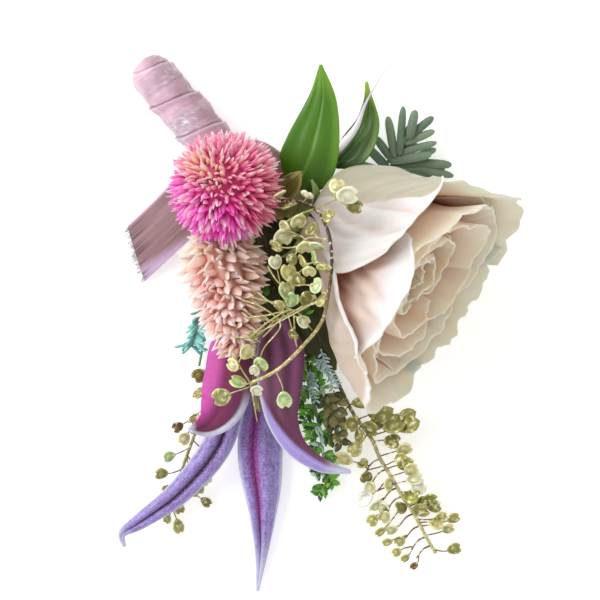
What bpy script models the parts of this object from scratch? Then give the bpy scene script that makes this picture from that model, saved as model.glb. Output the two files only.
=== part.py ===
"""A boutonniere lying on a table: a garden rose, a globe amaranth, a celosia plume, a clematis bell, leaves,
acacia, fern and gilded peppergrass, with their stems bound in a satin ribbon that is knotted at the neck.

Points are written in millimetres from the binding band, where the stems fan out, and heights from the table.
The last step moves the whole arrangement so that its origin is the bottom centre of its bounding box.
"""

import math

import bmesh
import bpy
from mathutils import Matrix, Vector

MM = 0.001
GOLDEN_ANGLE = math.radians(137.5)

# The stem bundle and its ribbon
BUNDLE_START = Vector((-19.5, 22.4, 6.0))
BUNDLE_END = Vector((0.0, 0.0, 6.5))
BUNDLE_AXIS = (BUNDLE_END - BUNDLE_START).normalized()
BUNDLE_SIDE = BUNDLE_AXIS.cross(Vector((0, 0, 1))).normalized() * -1
BUNDLE_UP = BUNDLE_SIDE.cross(BUNDLE_AXIS).normalized() * -1
RING_RADIUS = 3.2
STEM_RADIUS = 0.75
ROSE_STEM_RADIUS = 1.5
TAPE_INNER_RADIUS = 4.25
TAPE_WALL = 0.3
WRAP_INNER_RADIUS = 4.85
WRAP_WALL = 0.6
WRAP_TURNS = 4
RIBBON_THICKNESS = 0.5
RIBBON_HALF_WIDTH = 6.0
KNOT_CENTRE = Vector((-3.0, 3.4, 13.6))

# Where each stem sits in the ring round the rose stem, counted from the bundle's right over the top
RING_ORDER = (
    "acacia_upper", "lilac_blade", "ruscus", "lepidium_centre", "amaranth", "celosia",
    "acacia_left", "lepidium_left", "clematis", "fern", "lepidium_right",
)

# The rose
ROSE_BASE = Vector((16.6, -10.8, 13.2))
ROSE_AXIS = Vector((0.79, -0.46, 0.407)).normalized()
ROSE_NEAR = (Vector((0, 0, 1)) - ROSE_AXIS * ROSE_AXIS.z).normalized()
ROSE_LOW = ROSE_AXIS.cross(ROSE_NEAR)
PETAL_THICKNESS = 0.45

# The flower heads
AMARANTH_CENTRE = Vector((-3.7, -2.8, 28.0))
AMARANTH_APEX = Vector((-0.45, 0.35, 0.82)).normalized()
AMARANTH_CORE_RADIUS = 9.3
AMARANTH_BRACT = 4.2
CELOSIA_BASE = Vector((-5.0, -13.4, 15.5))
CELOSIA_TIP = Vector((-0.7, -40.4, 21.0))
CELOSIA_CORE_RADIUS = 8.0
CELOSIA_BRACT = 3.3
STALK_CLEARING = 3.2


def finish(name, colour, roughness, metallic=0.0):
    """A Principled material for one kind of surface."""
    found = bpy.data.materials.get(name)
    if found:
        return found
    made = bpy.data.materials.new(name)
    made.use_nodes = True
    shader = made.node_tree.nodes["Principled BSDF"]
    shader.inputs["Base Color"].default_value = (*colour, 1.0)
    shader.inputs["Roughness"].default_value = roughness
    shader.inputs["Metallic"].default_value = metallic
    return made


def satin():
    return finish("dusty_pink_satin", (0.62, 0.42, 0.47), 0.4)


def blush():
    return finish("blush_petal", (0.92, 0.82, 0.76), 0.55)


def leaf_green():
    return finish("ruscus_green", (0.16, 0.34, 0.04), 0.4)


def sage():
    return finish("sage_green", (0.28, 0.38, 0.3), 0.6)


def stem_green():
    return finish("stem_green", (0.2, 0.3, 0.1), 0.55)


def gilt():
    return finish("gilt_paint", (0.6, 0.53, 0.28), 0.35, 0.6)


def olive():
    return finish("olive_gilt", (0.3, 0.28, 0.08), 0.5, 0.2)


def clematis_purple():
    return finish("clematis_purple", (0.4, 0.16, 0.42), 0.5)


def lilac():
    return finish("lilac", (0.75, 0.68, 0.85), 0.5)


def place(name, mesh, material, root):
    """One object of the given mesh, held by the root."""
    mesh.materials.append(material)
    made = bpy.data.objects.new(name, mesh)
    bpy.context.scene.collection.objects.link(made)
    made.parent = root
    return made


def mesh_from(bm, name):
    """The bmesh as a mesh in metres, with its faces pointing out."""
    bmesh.ops.scale(bm, vec=(MM, MM, MM), verts=bm.verts)
    bmesh.ops.recalc_face_normals(bm, faces=bm.faces)
    mesh = bpy.data.meshes.new(name)
    bm.to_mesh(mesh)
    bm.free()
    return mesh


def smooth_path(points, per_span=4):
    """A Catmull-Rom curve through the points."""
    ends = [points[0] * 2 - points[1], *points, points[-1] * 2 - points[-2]]
    path = []
    for a, b, c, d in zip(ends, ends[1:], ends[2:], ends[3:]):
        for step in range(per_span):
            t = step / per_span
            path.append(0.5 * (
                2 * b + (c - a) * t + (2 * a - 5 * b + 4 * c - d) * t ** 2
                + (3 * b - a - 3 * c + d) * t ** 3
            ))
    path.append(points[-1].copy())
    return path


def along(values, share):
    """The value at that share of an evenly spaced list."""
    place_in = min(max(share, 0.0), 1.0) * (len(values) - 1)
    low = min(int(place_in), len(values) - 2)
    return values[low] + (values[low + 1] - values[low]) * (place_in - low)


def vectors(*triples):
    return [Vector(t) for t in triples]


def tube_mesh(name, path, radius, sides_level=1, end_share=1.0):
    """A closed tube along the path, tapering to end_share of its radius."""
    curve = bpy.data.curves.new(name + "_route", "CURVE")
    curve.dimensions = "3D"
    curve.bevel_depth = radius * MM
    curve.bevel_resolution = sides_level
    curve.use_fill_caps = True
    spline = curve.splines.new("POLY")
    spline.points.add(len(path) - 1)
    for index, (point, where) in enumerate(zip(spline.points, path)):
        point.co = (*(where * MM), 1.0)
        point.radius = 1 + (end_share - 1) * index / (len(path) - 1)
    holder = bpy.data.objects.new(name + "_route", curve)
    mesh = bpy.data.meshes.new_from_object(holder)
    bpy.data.objects.remove(holder)
    bm = bmesh.new()
    bm.from_mesh(mesh)
    bmesh.ops.remove_doubles(bm, verts=bm.verts, dist=1e-6)
    bmesh.ops.recalc_face_normals(bm, faces=bm.faces)
    bm.to_mesh(mesh)
    bm.free()
    return mesh


def sheet(name, surface, rows, columns, thickness, material, root):
    """A thin closed solid over surface(share along, share across from -1 to 1)."""
    bm = bmesh.new()
    bmesh.ops.create_grid(bm, x_segments=rows, y_segments=columns, size=1)
    for vert in bm.verts:
        vert.co = surface((vert.co.x + 1) / 2, vert.co.y)
    made = place(name, mesh_from(bm, name), material, root)
    skin = made.modifiers.new("thickness", "SOLIDIFY")
    skin.thickness = thickness * MM
    skin.offset = 0
    return made


def blade(name, spine, half_widths, face, cup, thickness, material, root, rows=8, columns=4, slant=0.0):
    """A leaf, tepal or ribbon end: it follows the spine, its edges bend away from face by cup, and its
    far end is cut aslant."""
    path = smooth_path(spine, 8)

    def surface(share, across):
        here = along(path, share)
        ahead = along(path, min(share + 0.02, 1)) - along(path, max(share - 0.02, 0))
        side = ahead.cross(face).normalized()
        out = side.cross(ahead).normalized()
        half = along(half_widths, share)
        reach = ahead.normalized() * slant * across * share
        return here + side * half * across + reach - out * half * cup * across ** 2

    return sheet(name, surface, rows, columns, thickness, material, root)


def bundle_point(name, share):
    """Where a named stem's middle lies in the bundle, at that share of the bundle's length."""
    angle = math.tau * RING_ORDER.index(name) / len(RING_ORDER)
    offset = BUNDLE_SIDE * math.cos(angle) + BUNDLE_UP * math.sin(angle)
    return BUNDLE_START.lerp(BUNDLE_END, share) + offset * RING_RADIUS


def bound_route(name, way):
    """A stem's route: inside the bundle, straight out of its mouth, then along the given way."""
    inside = [bundle_point(name, share) for share in (0.08, 0.55, 0.98)]
    return smooth_path([*inside, bundle_point(name, 1.0) + BUNDLE_AXIS * 2.4, *vectors(*way)], 3)


def turned(name, profile, start, axis, segments, material, root):
    """A solid of revolution about axis. The profile holds (distance along, radius) pairs."""
    bm = bmesh.new()
    side = axis.orthogonal().normalized()
    ring = [bm.verts.new(start + axis * a + side * r) for a, r in profile]
    edges = [bm.edges.new(pair) for pair in zip(ring, ring[1:])]
    bmesh.ops.spin(
        bm, geom=ring + edges, cent=start, axis=axis, angle=math.tau, steps=segments, use_merge=True,
    )
    bmesh.ops.remove_doubles(bm, verts=bm.verts, dist=1e-4)
    return place(name, mesh_from(bm, name), material, root)


def ribbon(root):
    """The satin wrap over the stem ends, its knot, and its two loose ends."""
    length = (BUNDLE_END - BUNDLE_START).length
    outer = WRAP_INNER_RADIUS + WRAP_WALL
    mouth = length - 1.8
    profile = [(-5.6, 0.0), (-5.3, 2.2), (-4.0, 4.1), (-2.0, 5.0)]
    turn = (mouth + 2.0) / WRAP_TURNS
    for index in range(WRAP_TURNS):
        begin = -2.0 + turn * index
        profile += [(begin + 0.6, outer), (begin + turn, outer - 0.3)]
    profile += [(mouth, WRAP_INNER_RADIUS), (0.0, WRAP_INNER_RADIUS), (-1.2, 3.4), (-1.6, 0.0)]
    turned("ribbon_wrap", profile, BUNDLE_START, BUNDLE_AXIS, 20, satin(), root)

    bm = bmesh.new()
    bmesh.ops.create_cube(bm, size=1)
    bmesh.ops.scale(bm, vec=(5.6, 4.2, 2.2), verts=bm.verts)
    bmesh.ops.bevel(bm, geom=bm.edges[:], offset=0.8, segments=2, affect="EDGES", profile=0.6)
    facing = Matrix((BUNDLE_SIDE, BUNDLE_AXIS, Vector((0, 0, 1)))).transposed()
    bmesh.ops.transform(bm, matrix=Matrix.Translation(KNOT_CENTRE) @ facing.to_4x4(), verts=bm.verts)
    place("ribbon_knot", mesh_from(bm, "ribbon_knot"), satin(), root)

    up = Vector((0, 0, 1))
    blade(
        "ribbon_tail_left",
        vectors((-5.5, 1.2, 13.4), (-9.5, -3.4, 12.0), (-15.1, -9.4, 8.0), (-24.4, -18.1, 3.0)),
        (1.6, 3.8, 5.4, RIBBON_HALF_WIDTH, RIBBON_HALF_WIDTH, RIBBON_HALF_WIDTH),
        up, 0.08, RIBBON_THICKNESS, satin(), root, slant=-3.2,
    )
    blade(
        "ribbon_tail_right",
        vectors((0.0, 6.1, 13.4), (2.8, 6.1, 13.2), (5.8, 4.6, 12.2), (8.4, 2.8, 11.4)),
        (1.6, 3.2, 3.9, 4.0), up, 0.08, RIBBON_THICKNESS, satin(), root, rows=6,
    )


def binding(root):
    """The tape sleeve round the stems under the ribbon, and the band that grips them at the mouth."""
    length = (BUNDLE_END - BUNDLE_START).length
    outer = TAPE_INNER_RADIUS + TAPE_WALL
    tape = finish("stem_tape", (0.25, 0.32, 0.16), 0.7)
    sleeve = [(0.8, TAPE_INNER_RADIUS), (0.8, outer), (length - 2.0, outer),
              (length - 2.0, TAPE_INNER_RADIUS), (0.8, TAPE_INNER_RADIUS)]
    turned("stem_tape", sleeve, BUNDLE_START, BUNDLE_AXIS, 20, tape, root)
    band = [(-1.0, 4.2), (-1.0, 4.9), (1.0, 4.9), (1.0, 4.2), (-1.0, 4.2)]
    turned("binding_band", band, BUNDLE_END, BUNDLE_AXIS, 20, tape, root)


# Each ring of petals: count, first angle, half angle, radius at the receptacle, radius at the rim,
# height, and how far each petal's two edges step in and out so that neighbours overlap like tiles
PETAL_RINGS = {
    "outer": (5, -25.0, 50.0, 4.8, 22.0, 37.5, 0.0),
    "middle": (5, 12.0, 50.0, 3.7, 18.8, 36.5, 0.8),
    "inner": (5, 47.0, 50.0, 2.6, 15.0, 35.0, 0.75),
}
# How far outside its ring each outer petal lies, and how much further its rim flares
OUTER_LIFT = (2.8, 0.0, 1.8, 0.0, 1.4)
OUTER_FLARE = (3.5, 2.5, 3.0, 0.0, 4.0)
# How fast the bowl opens: evenly all round, and faster towards the rose's fuller side
BOWL_POWER = 2.8
FULL_SIDE_POWER = 4.2
FULL_SIDE_ANGLE = -100.0


def rose_point(height, radius, angle):
    """A point of the rose from its height up the axis, its distance from it, and its angle in degrees."""
    turn = math.radians(angle)
    return (
        ROSE_BASE + ROSE_AXIS * height
        + (ROSE_NEAR * math.cos(turn) + ROSE_LOW * math.sin(turn)) * radius
    )


def petal(ring, index, root):
    """One rose petal: a narrow claw that opens into a bowl and turns out a little at the rim."""
    count, first, half_angle, base_radius, rim_radius, height, step = PETAL_RINGS[ring]
    lift = OUTER_LIFT[index] if ring == "outer" else 0.0
    flare = OUTER_FLARE[index] if ring == "outer" else 0.0
    middle = first + 360 / count * index

    def surface(share, across):
        widening = 0.42 + 0.58 * math.sin(min(share / 0.6, 1) * math.pi / 2)
        angle = middle + half_angle * widening * across
        full = max(math.cos(math.radians(angle - FULL_SIDE_ANGLE)), 0) ** 2
        bowl = 1 - (1 - share) ** (BOWL_POWER + FULL_SIDE_POWER * full)
        rounding = 1 - 0.13 * across ** 2 * share
        radius = base_radius + (rim_radius - base_radius + lift + step * across) * bowl
        radius += (0.6 + flare) * share ** 3 * (1 - 0.25 * across ** 2)
        return rose_point(height * share * rounding + 0.6, radius, angle)

    sheet(f"rose_petal_{ring}_{index + 1}", surface, 7, 6, PETAL_THICKNESS, blush(), root)


def rose(root):
    """The rose: stem, hip with five sepals, three rings of separate petals and the closed heart."""
    way = vectors((3.0, -3.2, 7.4), ROSE_BASE - ROSE_AXIS * 7.5, ROSE_BASE - ROSE_AXIS * 4.6)
    inside = [BUNDLE_START.lerp(BUNDLE_END, share) for share in (0.08, 0.5, 1.0)]
    stem = tube_mesh("rose_stem", smooth_path([*inside, *way], 4), ROSE_STEM_RADIUS)
    place("rose_stem", stem, stem_green(), root)

    bm = bmesh.new()
    hip = [(-4.0, 0.0), (-4.0, 1.6), (-2.6, 3.0), (-1.0, 3.6), (0.2, 5.4)]
    side = ROSE_AXIS.orthogonal().normalized()
    ring = [bm.verts.new(ROSE_BASE + ROSE_AXIS * a + side * r) for a, r in hip]
    edges = [bm.edges.new(pair) for pair in zip(ring, ring[1:])]
    bmesh.ops.spin(
        bm, geom=ring + edges, cent=ROSE_BASE, axis=ROSE_AXIS, angle=math.tau, steps=10, use_merge=True,
    )
    bmesh.ops.remove_doubles(bm, verts=bm.verts, dist=1e-4)
    bmesh.ops.holes_fill(bm, edges=[e for e in bm.edges if e.is_boundary], sides=0)
    bmesh.ops.recalc_face_normals(bm, faces=bm.faces)
    collar = [
        f for f in bm.faces
        if len(f.verts) == 4 and (f.calc_center_median() - ROSE_BASE).dot(ROSE_AXIS) > -0.6
    ]
    for face in collar[::2]:
        outward = face.calc_center_median() - ROSE_BASE
        outward = (outward - ROSE_AXIS * outward.dot(ROSE_AXIS)).normalized()
        for reach, shrink in ((2.2, 0.9), (2.6, 0.55)):
            face = bmesh.ops.extrude_discrete_faces(bm, faces=[face])["faces"][0]
            middle = face.calc_center_median()
            for vert in face.verts:
                vert.co = middle + (vert.co - middle) * shrink + outward * reach - ROSE_AXIS * 0.9
    place("rose_calyx", mesh_from(bm, "rose_calyx"), stem_green(), root)

    for name, ring_of in PETAL_RINGS.items():
        for index in range(ring_of[0]):
            petal(name, index, root)

    heart = [(0.6, 0.0), (0.6, 1.3), (3.0, 3.6), (8.0, 7.6), (15.0, 10.6), (23.0, 12.0), (30.0, 11.6),
             (32.5, 9.4), (31.2, 6.0), (32.6, 3.6), (31.8, 0.0)]
    turned("rose_heart", heart, ROSE_BASE, ROSE_AXIS, 14, blush(), root)


def bristled(name, bm, stalk_end, length, drift, material, root):
    """Raises a pointed bract from every face of a closed core but those round the stalk."""
    bmesh.ops.recalc_face_normals(bm, faces=bm.faces)
    clear = [f for f in bm.faces if (f.calc_center_median() - stalk_end).length > STALK_CLEARING]
    tips = bmesh.ops.poke(bm, faces=clear, offset=0.0)["verts"]
    bm.normal_update()
    for tip in tips:
        tip.co += tip.normal * length + drift
    return place(name, mesh_from(bm, name), material, root)


def amaranth(root):
    """The globe amaranth: a ball of pointed papery bracts on its stem."""
    base = AMARANTH_CENTRE - AMARANTH_APEX * (AMARANTH_CORE_RADIUS + 0.4)
    route = bound_route("amaranth", ((0.9, -5.0, 11.2), (1.0, -6.2, 15.5), base))
    place("amaranth_stem", tube_mesh("amaranth_stem", route, STEM_RADIUS), stem_green(), root)
    bm = bmesh.new()
    bmesh.ops.create_icosphere(bm, subdivisions=2, radius=AMARANTH_CORE_RADIUS)
    bmesh.ops.translate(bm, vec=AMARANTH_CENTRE, verts=bm.verts)
    pink = finish("amaranth_pink", (0.85, 0.25, 0.5), 0.6)
    bristled("amaranth_head", bm, base, AMARANTH_BRACT, Vector(), pink, root)


def celosia(root):
    """The celosia plume: a tapering head of larger pointed bracts on its stem."""
    axis = (CELOSIA_TIP - CELOSIA_BASE).normalized()
    route = bound_route("celosia", ((-2.8, -6.8, 10.5), (-4.4, -9.8, 13.6), CELOSIA_BASE - axis * 1.0))
    place("celosia_stem", tube_mesh("celosia_stem", route, STEM_RADIUS), stem_green(), root)
    length = (CELOSIA_TIP - CELOSIA_BASE).length
    bm = bmesh.new()
    bmesh.ops.create_uvsphere(bm, u_segments=9, v_segments=9, radius=1)
    turn = axis.to_track_quat("Z", "Y").to_matrix()
    for vert in bm.verts:
        share = (vert.co.z + 1) / 2
        round_off = math.sqrt(max(1 - vert.co.z ** 4, 0)) / max(math.hypot(vert.co.x, vert.co.y), 1e-6)
        swell = CELOSIA_CORE_RADIUS * (1 - 0.66 * share) * round_off
        vert.co = CELOSIA_BASE + turn @ Vector((vert.co.x * swell, vert.co.y * swell, share * length))
    peach = finish("celosia_peach", (0.9, 0.62, 0.5), 0.6)
    bristled("celosia_head", bm, CELOSIA_BASE, CELOSIA_BRACT, axis * 0.8, peach, root)


def clematis(root):
    """The clematis bell: four fleshy tepals whose tips turn out, round a bunch of stamens."""
    route = bound_route("clematis", ((1.2, -8.0, 3.8), (3.6, -18.0, 4.6), (4.8, -28.0, 8.0), (4.7, -34.6, 9.6)))
    place("clematis_stem", tube_mesh("clematis_stem", route, STEM_RADIUS), stem_green(), root)
    near, far = Vector((0, -0.2, 1)), Vector((0, -0.2, -1))
    thick = 0.8
    blade(
        "clematis_tepal_front_left",
        vectors((3.0, -37.2, 12.0), (-1.4, -45.0, 15.4), (-5.4, -53.6, 16.8), (-8.4, -58.4, 18.0), (-11.4, -60.4, 20.0)),
        (1.4, 4.2, 5.6, 5.4, 3.4, 0.5), near, 0.35, thick, clematis_purple(), root,
    )
    blade(
        "clematis_tepal_front_right",
        vectors((6.4, -37.2, 12.0), (10.0, -47.0, 15.6), (12.2, -58.0, 16.6), (17.0, -65.6, 16.2), (25.2, -68.4, 14.4)),
        (1.4, 4.2, 5.0, 4.0, 2.6, 1.6, 0.5), near, 0.35, thick, clematis_purple(), root,
    )
    blade(
        "clematis_tepal_back_left",
        vectors((2.8, -37.2, 7.4), (-1.6, -50.0, 7.2), (-5.4, -62.4, 7.4), (-14.0, -73.0, 7.2),
                (-23.0, -79.8, 5.4), (-27.4, -82.8, 3.6), (-27.0, -86.0, 1.6)),
        (1.4, 3.6, 4.4, 3.6, 2.6, 1.0, 0.5), far, 0.3, thick, clematis_purple(), root, rows=12,
    )
    blade(
        "clematis_tepal_back_centre",
        vectors((6.2, -37.2, 6.6), (5.8, -50.0, 4.2), (4.6, -63.0, 4.4), (5.2, -75.0, 4.6), (5.0, -86.0, 3.2),
                (4.0, -96.4, 1.2)),
        (1.4, 4.0, 5.4, 5.2, 3.4, 1.8, 0.5), far, 0.3, thick, clematis_purple(), root, rows=10,
    )
    stamens = [(0.0, 0.0), (0.0, 0.7), (7.0, 1.5), (15.0, 2.0), (18.0, 1.2), (18.6, 0.0)]
    cream = finish("stamen_cream", (0.62, 0.6, 0.35), 0.6)
    turned("clematis_stamens", stamens, Vector((4.7, -36.4, 10.4)), Vector((-0.02, -1, 0.0)).normalized(), 8, cream, root)


def leaves(root):
    """The ruscus twig with its two leaves, the two gilded leaves and the slender lilac blade."""
    route = bound_route("ruscus", ((4.6, -1.0, 9.4), (9.8, -2.4, 9.2), (15.0, -0.4, 9.2), (21.5, 3.4, 9.0)))
    place("ruscus_stem", tube_mesh("ruscus_stem", route, STEM_RADIUS, end_share=0.6), stem_green(), root)
    up = Vector((0, 0, 1))
    blade(
        "ruscus_leaf_large",
        vectors((11.0, -3.4, 11.6), (14.8, 1.4, 13.6), (17.2, 9.0, 14.4), (18.9, 17.6, 14.2), (18.6, 25.6, 12.6)),
        (0.9, 4.6, 6.1, 5.6, 4.5, 3.0, 1.6, 0.35), up, 0.12, 0.5, leaf_green(), root,
    )
    blade(
        "ruscus_leaf_small",
        vectors((22.6, 3.6, 10.2), (26.6, 7.0, 10.8), (29.3, 12.0, 11.6), (29.2, 21.7, 13.0)),
        (0.8, 3.2, 3.4, 2.2, 1.2, 0.35), Vector((-0.6, 0.3, 0.7)), 0.25, 0.5, leaf_green(), root,
    )
    blade(
        "gilded_leaf_upper",
        vectors((7.2, -5.4, 13.4), (9.4, -4.0, 16.6), (11.6, -2.0, 18.8), (14.2, 0.8, 19.4)),
        (0.8, 2.8, 3.2, 2.4, 0.4), Vector((-0.3, 0.3, 0.9)), 0.2, 0.5, olive(), root, rows=6,
    )
    blade(
        "gilded_leaf_lower",
        vectors((4.0, -7.0, 7.0), (7.4, -13.5, 7.4), (10.0, -21.0, 8.6), (11.6, -28.5, 9.6)),
        (0.8, 2.4, 2.6, 2.0, 0.4), up, 0.2, 0.5, olive(), root, rows=6,
    )
    spine = bound_route("lilac_blade", (
        (5.4, 2.6, 8.0), (11.0, 3.2, 7.4), (16.0, 3.6, 7.8), (19.6, 4.8, 9.8),
        (22.5, 6.2, 12.6), (26.6, 10.9, 15.2), (29.2, 17.1, 16.6), (33.4, 24.4, 17.4),
    ))
    place("lilac_blade", tube_mesh("lilac_blade", spine, 0.7, end_share=0.35), lilac(), root)


def add_rod(bm, start, end, radius, sides=4):
    """A short straight rod between two points."""
    turn = (end - start).to_track_quat("Z", "Y").to_matrix().to_4x4()
    bmesh.ops.create_cone(
        bm, cap_ends=True, segments=sides, radius1=radius, radius2=radius, depth=(end - start).length,
        matrix=Matrix.Translation((start + end) / 2) @ turn,
    )


def add_lobe(bm, start, end, half_width, half_depth, facing):
    """A rounded leaflet or pod whose long axis runs from start to end."""
    ahead = end - start
    side = ahead.cross(facing).normalized()
    shape = Matrix((side * half_width, side.cross(ahead).normalized() * half_depth, ahead / 2)).transposed()
    bmesh.ops.create_icosphere(
        bm, subdivisions=1, radius=1, matrix=Matrix.Translation((start + end) / 2) @ shape.to_4x4(),
    )


def grown_together(name, stem, parts, material, root):
    """Joins the parts to their stem as one solid."""
    made = place(name, stem, material, root)
    helper = place(name + "_parts", mesh_from(parts, name + "_parts"), material, root)
    helper.hide_render = True
    helper.display_type = "WIRE"
    union = made.modifiers.new("parts", "BOOLEAN")
    union.operation = "UNION"
    union.object = helper
    union.use_self = True
    return made


def peppergrass(name, way, first, count, reach, spread, root, hands=(1, -1)):
    """A gilded peppergrass spray: round flat pods on fine stalks, on the given sides of an arching stem."""
    route = bound_route(name, way)
    parts = bmesh.new()
    for index in range(count):
        share = first + (0.985 - first) * index / (count - 1)
        here = along(route, share)
        ahead = (along(route, min(share + 0.02, 1)) - along(route, share - 0.02)).normalized()
        side = ahead.cross(Vector((0, 0, 1))).normalized()
        turn = spread * abs(math.sin(index * GOLDEN_ANGLE))
        out = side * hands[index % 2] * math.cos(turn) + Vector((0, 0, 1)) * math.sin(turn)
        tip = here + (out + ahead * 0.4).normalized() * reach * (0.85 + 0.3 * (index % 3) / 2)
        add_rod(parts, here, tip, 0.28)
        outward = (tip - here).normalized()
        add_lobe(parts, tip - outward * 0.3, tip + outward * 2.4, 1.25, 0.55, out.cross(ahead))
    stem = tube_mesh(name, route, STEM_RADIUS, end_share=0.5)
    grown_together(name + "_spray", stem, parts, gilt(), root)


def acacia(name, way, pinnae, leaflets, size, root):
    """An acacia sprig: side twigs with pairs of thick rounded leaflets."""
    route = bound_route(name, way)
    parts = bmesh.new()
    for start, end in pinnae:
        begin, tip = Vector(start), Vector(end)
        add_rod(parts, begin, tip, 0.5)
        ahead = (tip - begin).normalized()
        side = ahead.cross(Vector((0, 0, 1))).normalized()
        for index in range(leaflets):
            here = begin.lerp(tip, 0.18 + 0.8 * index / leaflets)
            for hand in (-1, 1):
                reach = (side * hand + ahead * 0.75).normalized()
                reach += Vector((0, 0, 0.15 * hand))
                add_lobe(parts, here - reach * 0.4, here + reach * size, 1.15, 0.75, Vector((0, 0, 1)))
    stem = tube_mesh(name, route, STEM_RADIUS)
    grown_together(name + "_sprig", stem, parts, sage(), root)


def fern(root):
    """The fern frond: narrow leaflets in pairs along a fine stalk."""
    route = bound_route("fern", (
        (2.8, -9.0, 4.4), (6.5, -22.0, 5.0), (11.5, -35.0, 5.6), (15.5, -47.0, 5.6), (18.6, -60.0, 4.4),
        (20.0, -74.0, 2.6),
    ))
    parts = bmesh.new()
    count = 8
    for index in range(count):
        share = 0.66 + 0.3 * index / (count - 1)
        here = along(route, share)
        ahead = (along(route, min(share + 0.02, 1)) - along(route, share - 0.02)).normalized()
        side = ahead.cross(Vector((0, 0, 1))).normalized()
        for hand in (-1, 1):
            reach = (side * hand + ahead * 0.9).normalized() * (4.6 - 0.35 * index)
            add_lobe(parts, here - reach * 0.1, here + reach, 0.9, 0.4, Vector((0, 0, 1)))
    stem = tube_mesh("fern", route, STEM_RADIUS, end_share=0.5)
    grown_together("fern_frond", stem, parts, leaf_green(), root)


def greenery(root):
    """The peppergrass sprays, the acacia sprigs and the fern."""
    peppergrass(
        "lepidium_centre",
        ((3.8, -4.6, 12.0), (7.8, -6.0, 20.0), (12.2, -6.0, 30.0), (17.2, -8.0, 38.6), (20.1, -13.0, 43.4),
         (21.0, -20.0, 44.8), (20.2, -27.5, 42.4), (18.8, -33.5, 36.4), (15.0, -38.6, 30.0), (9.0, -44.4, 26.4),
         (2.5, -47.8, 24.8)),
        0.42, 14, 3.4, 0.6, root, hands=(1, 1),
    )
    peppergrass(
        "lepidium_left",
        ((-1.8, -12.0, 3.2), (-2.8, -25.7, 2.6), (-4.6, -39.7, 2.4), (-8.6, -54.0, 2.4), (-13.6, -68.0, 2.6),
         (-17.2, -79.0, 2.4)),
        0.66, 9, 3.6, 0.1, root,
    )
    peppergrass(
        "lepidium_right",
        ((5.0, -7.0, 3.6), (10.5, -18.0, 2.6), (15.5, -31.0, 2.4), (20.0, -42.0, 2.8), (24.4, -51.7, 4.0),
         (30.8, -61.6, 5.0), (36.6, -72.2, 5.2), (42.0, -81.0, 4.4), (45.3, -87.4, 3.2)),
        0.66, 14, 4.4, 0.3, root,
    )
    acacia(
        "acacia_upper",
        ((7.0, 2.6, 4.6), (15.0, 4.4, 3.8), (25.0, 3.6, 3.4), (33.4, 1.4, 3.4)),
        (((33.0, 1.4, 3.4), (39.6, 12.6, 8.0)), ((33.0, 1.4, 3.4), (43.0, 1.8, 3.8))),
        4, 7.4, root,
    )
    acacia(
        "acacia_left",
        ((-3.2, -8.0, 4.0), (-5.4, -18.0, 3.2), (-8.0, -26.0, 3.4), (-9.4, -32.0, 3.8)),
        (((-9.2, -31.2, 3.8), (-11.8, -40.5, 4.2)),),
        4, 4.0, root,
    )


def centre_on_origin(root):
    """Moves the root so that the arrangement stands on z = 0 with its bounding box centred."""
    bpy.context.view_layer.update()
    graph = bpy.context.evaluated_depsgraph_get()
    corners = [
        held.evaluated_get(graph).matrix_world @ Vector(corner)
        for held in root.children if not held.hide_render
        for corner in held.evaluated_get(graph).bound_box
    ]
    low = Vector(min(c[axis] for c in corners) for axis in range(3))
    high = Vector(max(c[axis] for c in corners) for axis in range(3))
    root.location = Vector((-(low.x + high.x) / 2, -(low.y + high.y) / 2, -low.z))
    bpy.context.view_layer.update()


def main():
    for leftover in list(bpy.data.objects):
        bpy.data.objects.remove(leftover)
    root = bpy.data.objects.new("boutonniere", None)
    bpy.context.scene.collection.objects.link(root)
    ribbon(root)
    binding(root)
    rose(root)
    amaranth(root)
    celosia(root)
    clematis(root)
    leaves(root)
    greenery(root)
    fern(root)
    centre_on_origin(root)


main()
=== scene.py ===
import math
import random

import bpy
import numpy as np
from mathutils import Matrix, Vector, noise


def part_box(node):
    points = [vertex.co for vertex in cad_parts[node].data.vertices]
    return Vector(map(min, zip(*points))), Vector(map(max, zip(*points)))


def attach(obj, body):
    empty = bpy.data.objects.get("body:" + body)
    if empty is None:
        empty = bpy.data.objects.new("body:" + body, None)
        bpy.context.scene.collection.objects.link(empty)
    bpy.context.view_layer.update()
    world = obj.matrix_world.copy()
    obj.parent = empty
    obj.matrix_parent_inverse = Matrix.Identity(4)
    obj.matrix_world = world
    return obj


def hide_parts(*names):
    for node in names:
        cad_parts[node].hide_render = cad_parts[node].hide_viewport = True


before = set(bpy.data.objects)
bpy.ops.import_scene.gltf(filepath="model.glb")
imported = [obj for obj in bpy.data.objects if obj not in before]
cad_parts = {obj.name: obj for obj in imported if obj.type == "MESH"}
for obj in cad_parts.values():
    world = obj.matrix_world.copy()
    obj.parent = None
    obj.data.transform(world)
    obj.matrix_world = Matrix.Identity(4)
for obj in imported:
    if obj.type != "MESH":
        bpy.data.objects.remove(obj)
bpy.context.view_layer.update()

# Points are written in millimetres from the binding band, where the stems fan out, and heights from the table
MM = 0.001
band_low, band_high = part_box("binding_band")
ORIGIN = np.array((band_low + band_high) / 2) - np.array((0, 0, 6.5)) * MM
UP = np.array((0.0, 0.0, 1.0))
GOLDEN_ANGLE = math.radians(137.5)
chance = random.Random(11)


# ---------------------------------------------------------------- measuring and colour

def metres(points):
    return ORIGIN + np.asarray(points, float) * MM


def point(*xyz):
    return np.array(xyz, float)


def unit(vector):
    vector = np.asarray(vector, float)
    return vector / np.maximum(np.linalg.norm(vector, axis=-1, keepdims=True), 1e-9)


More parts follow.
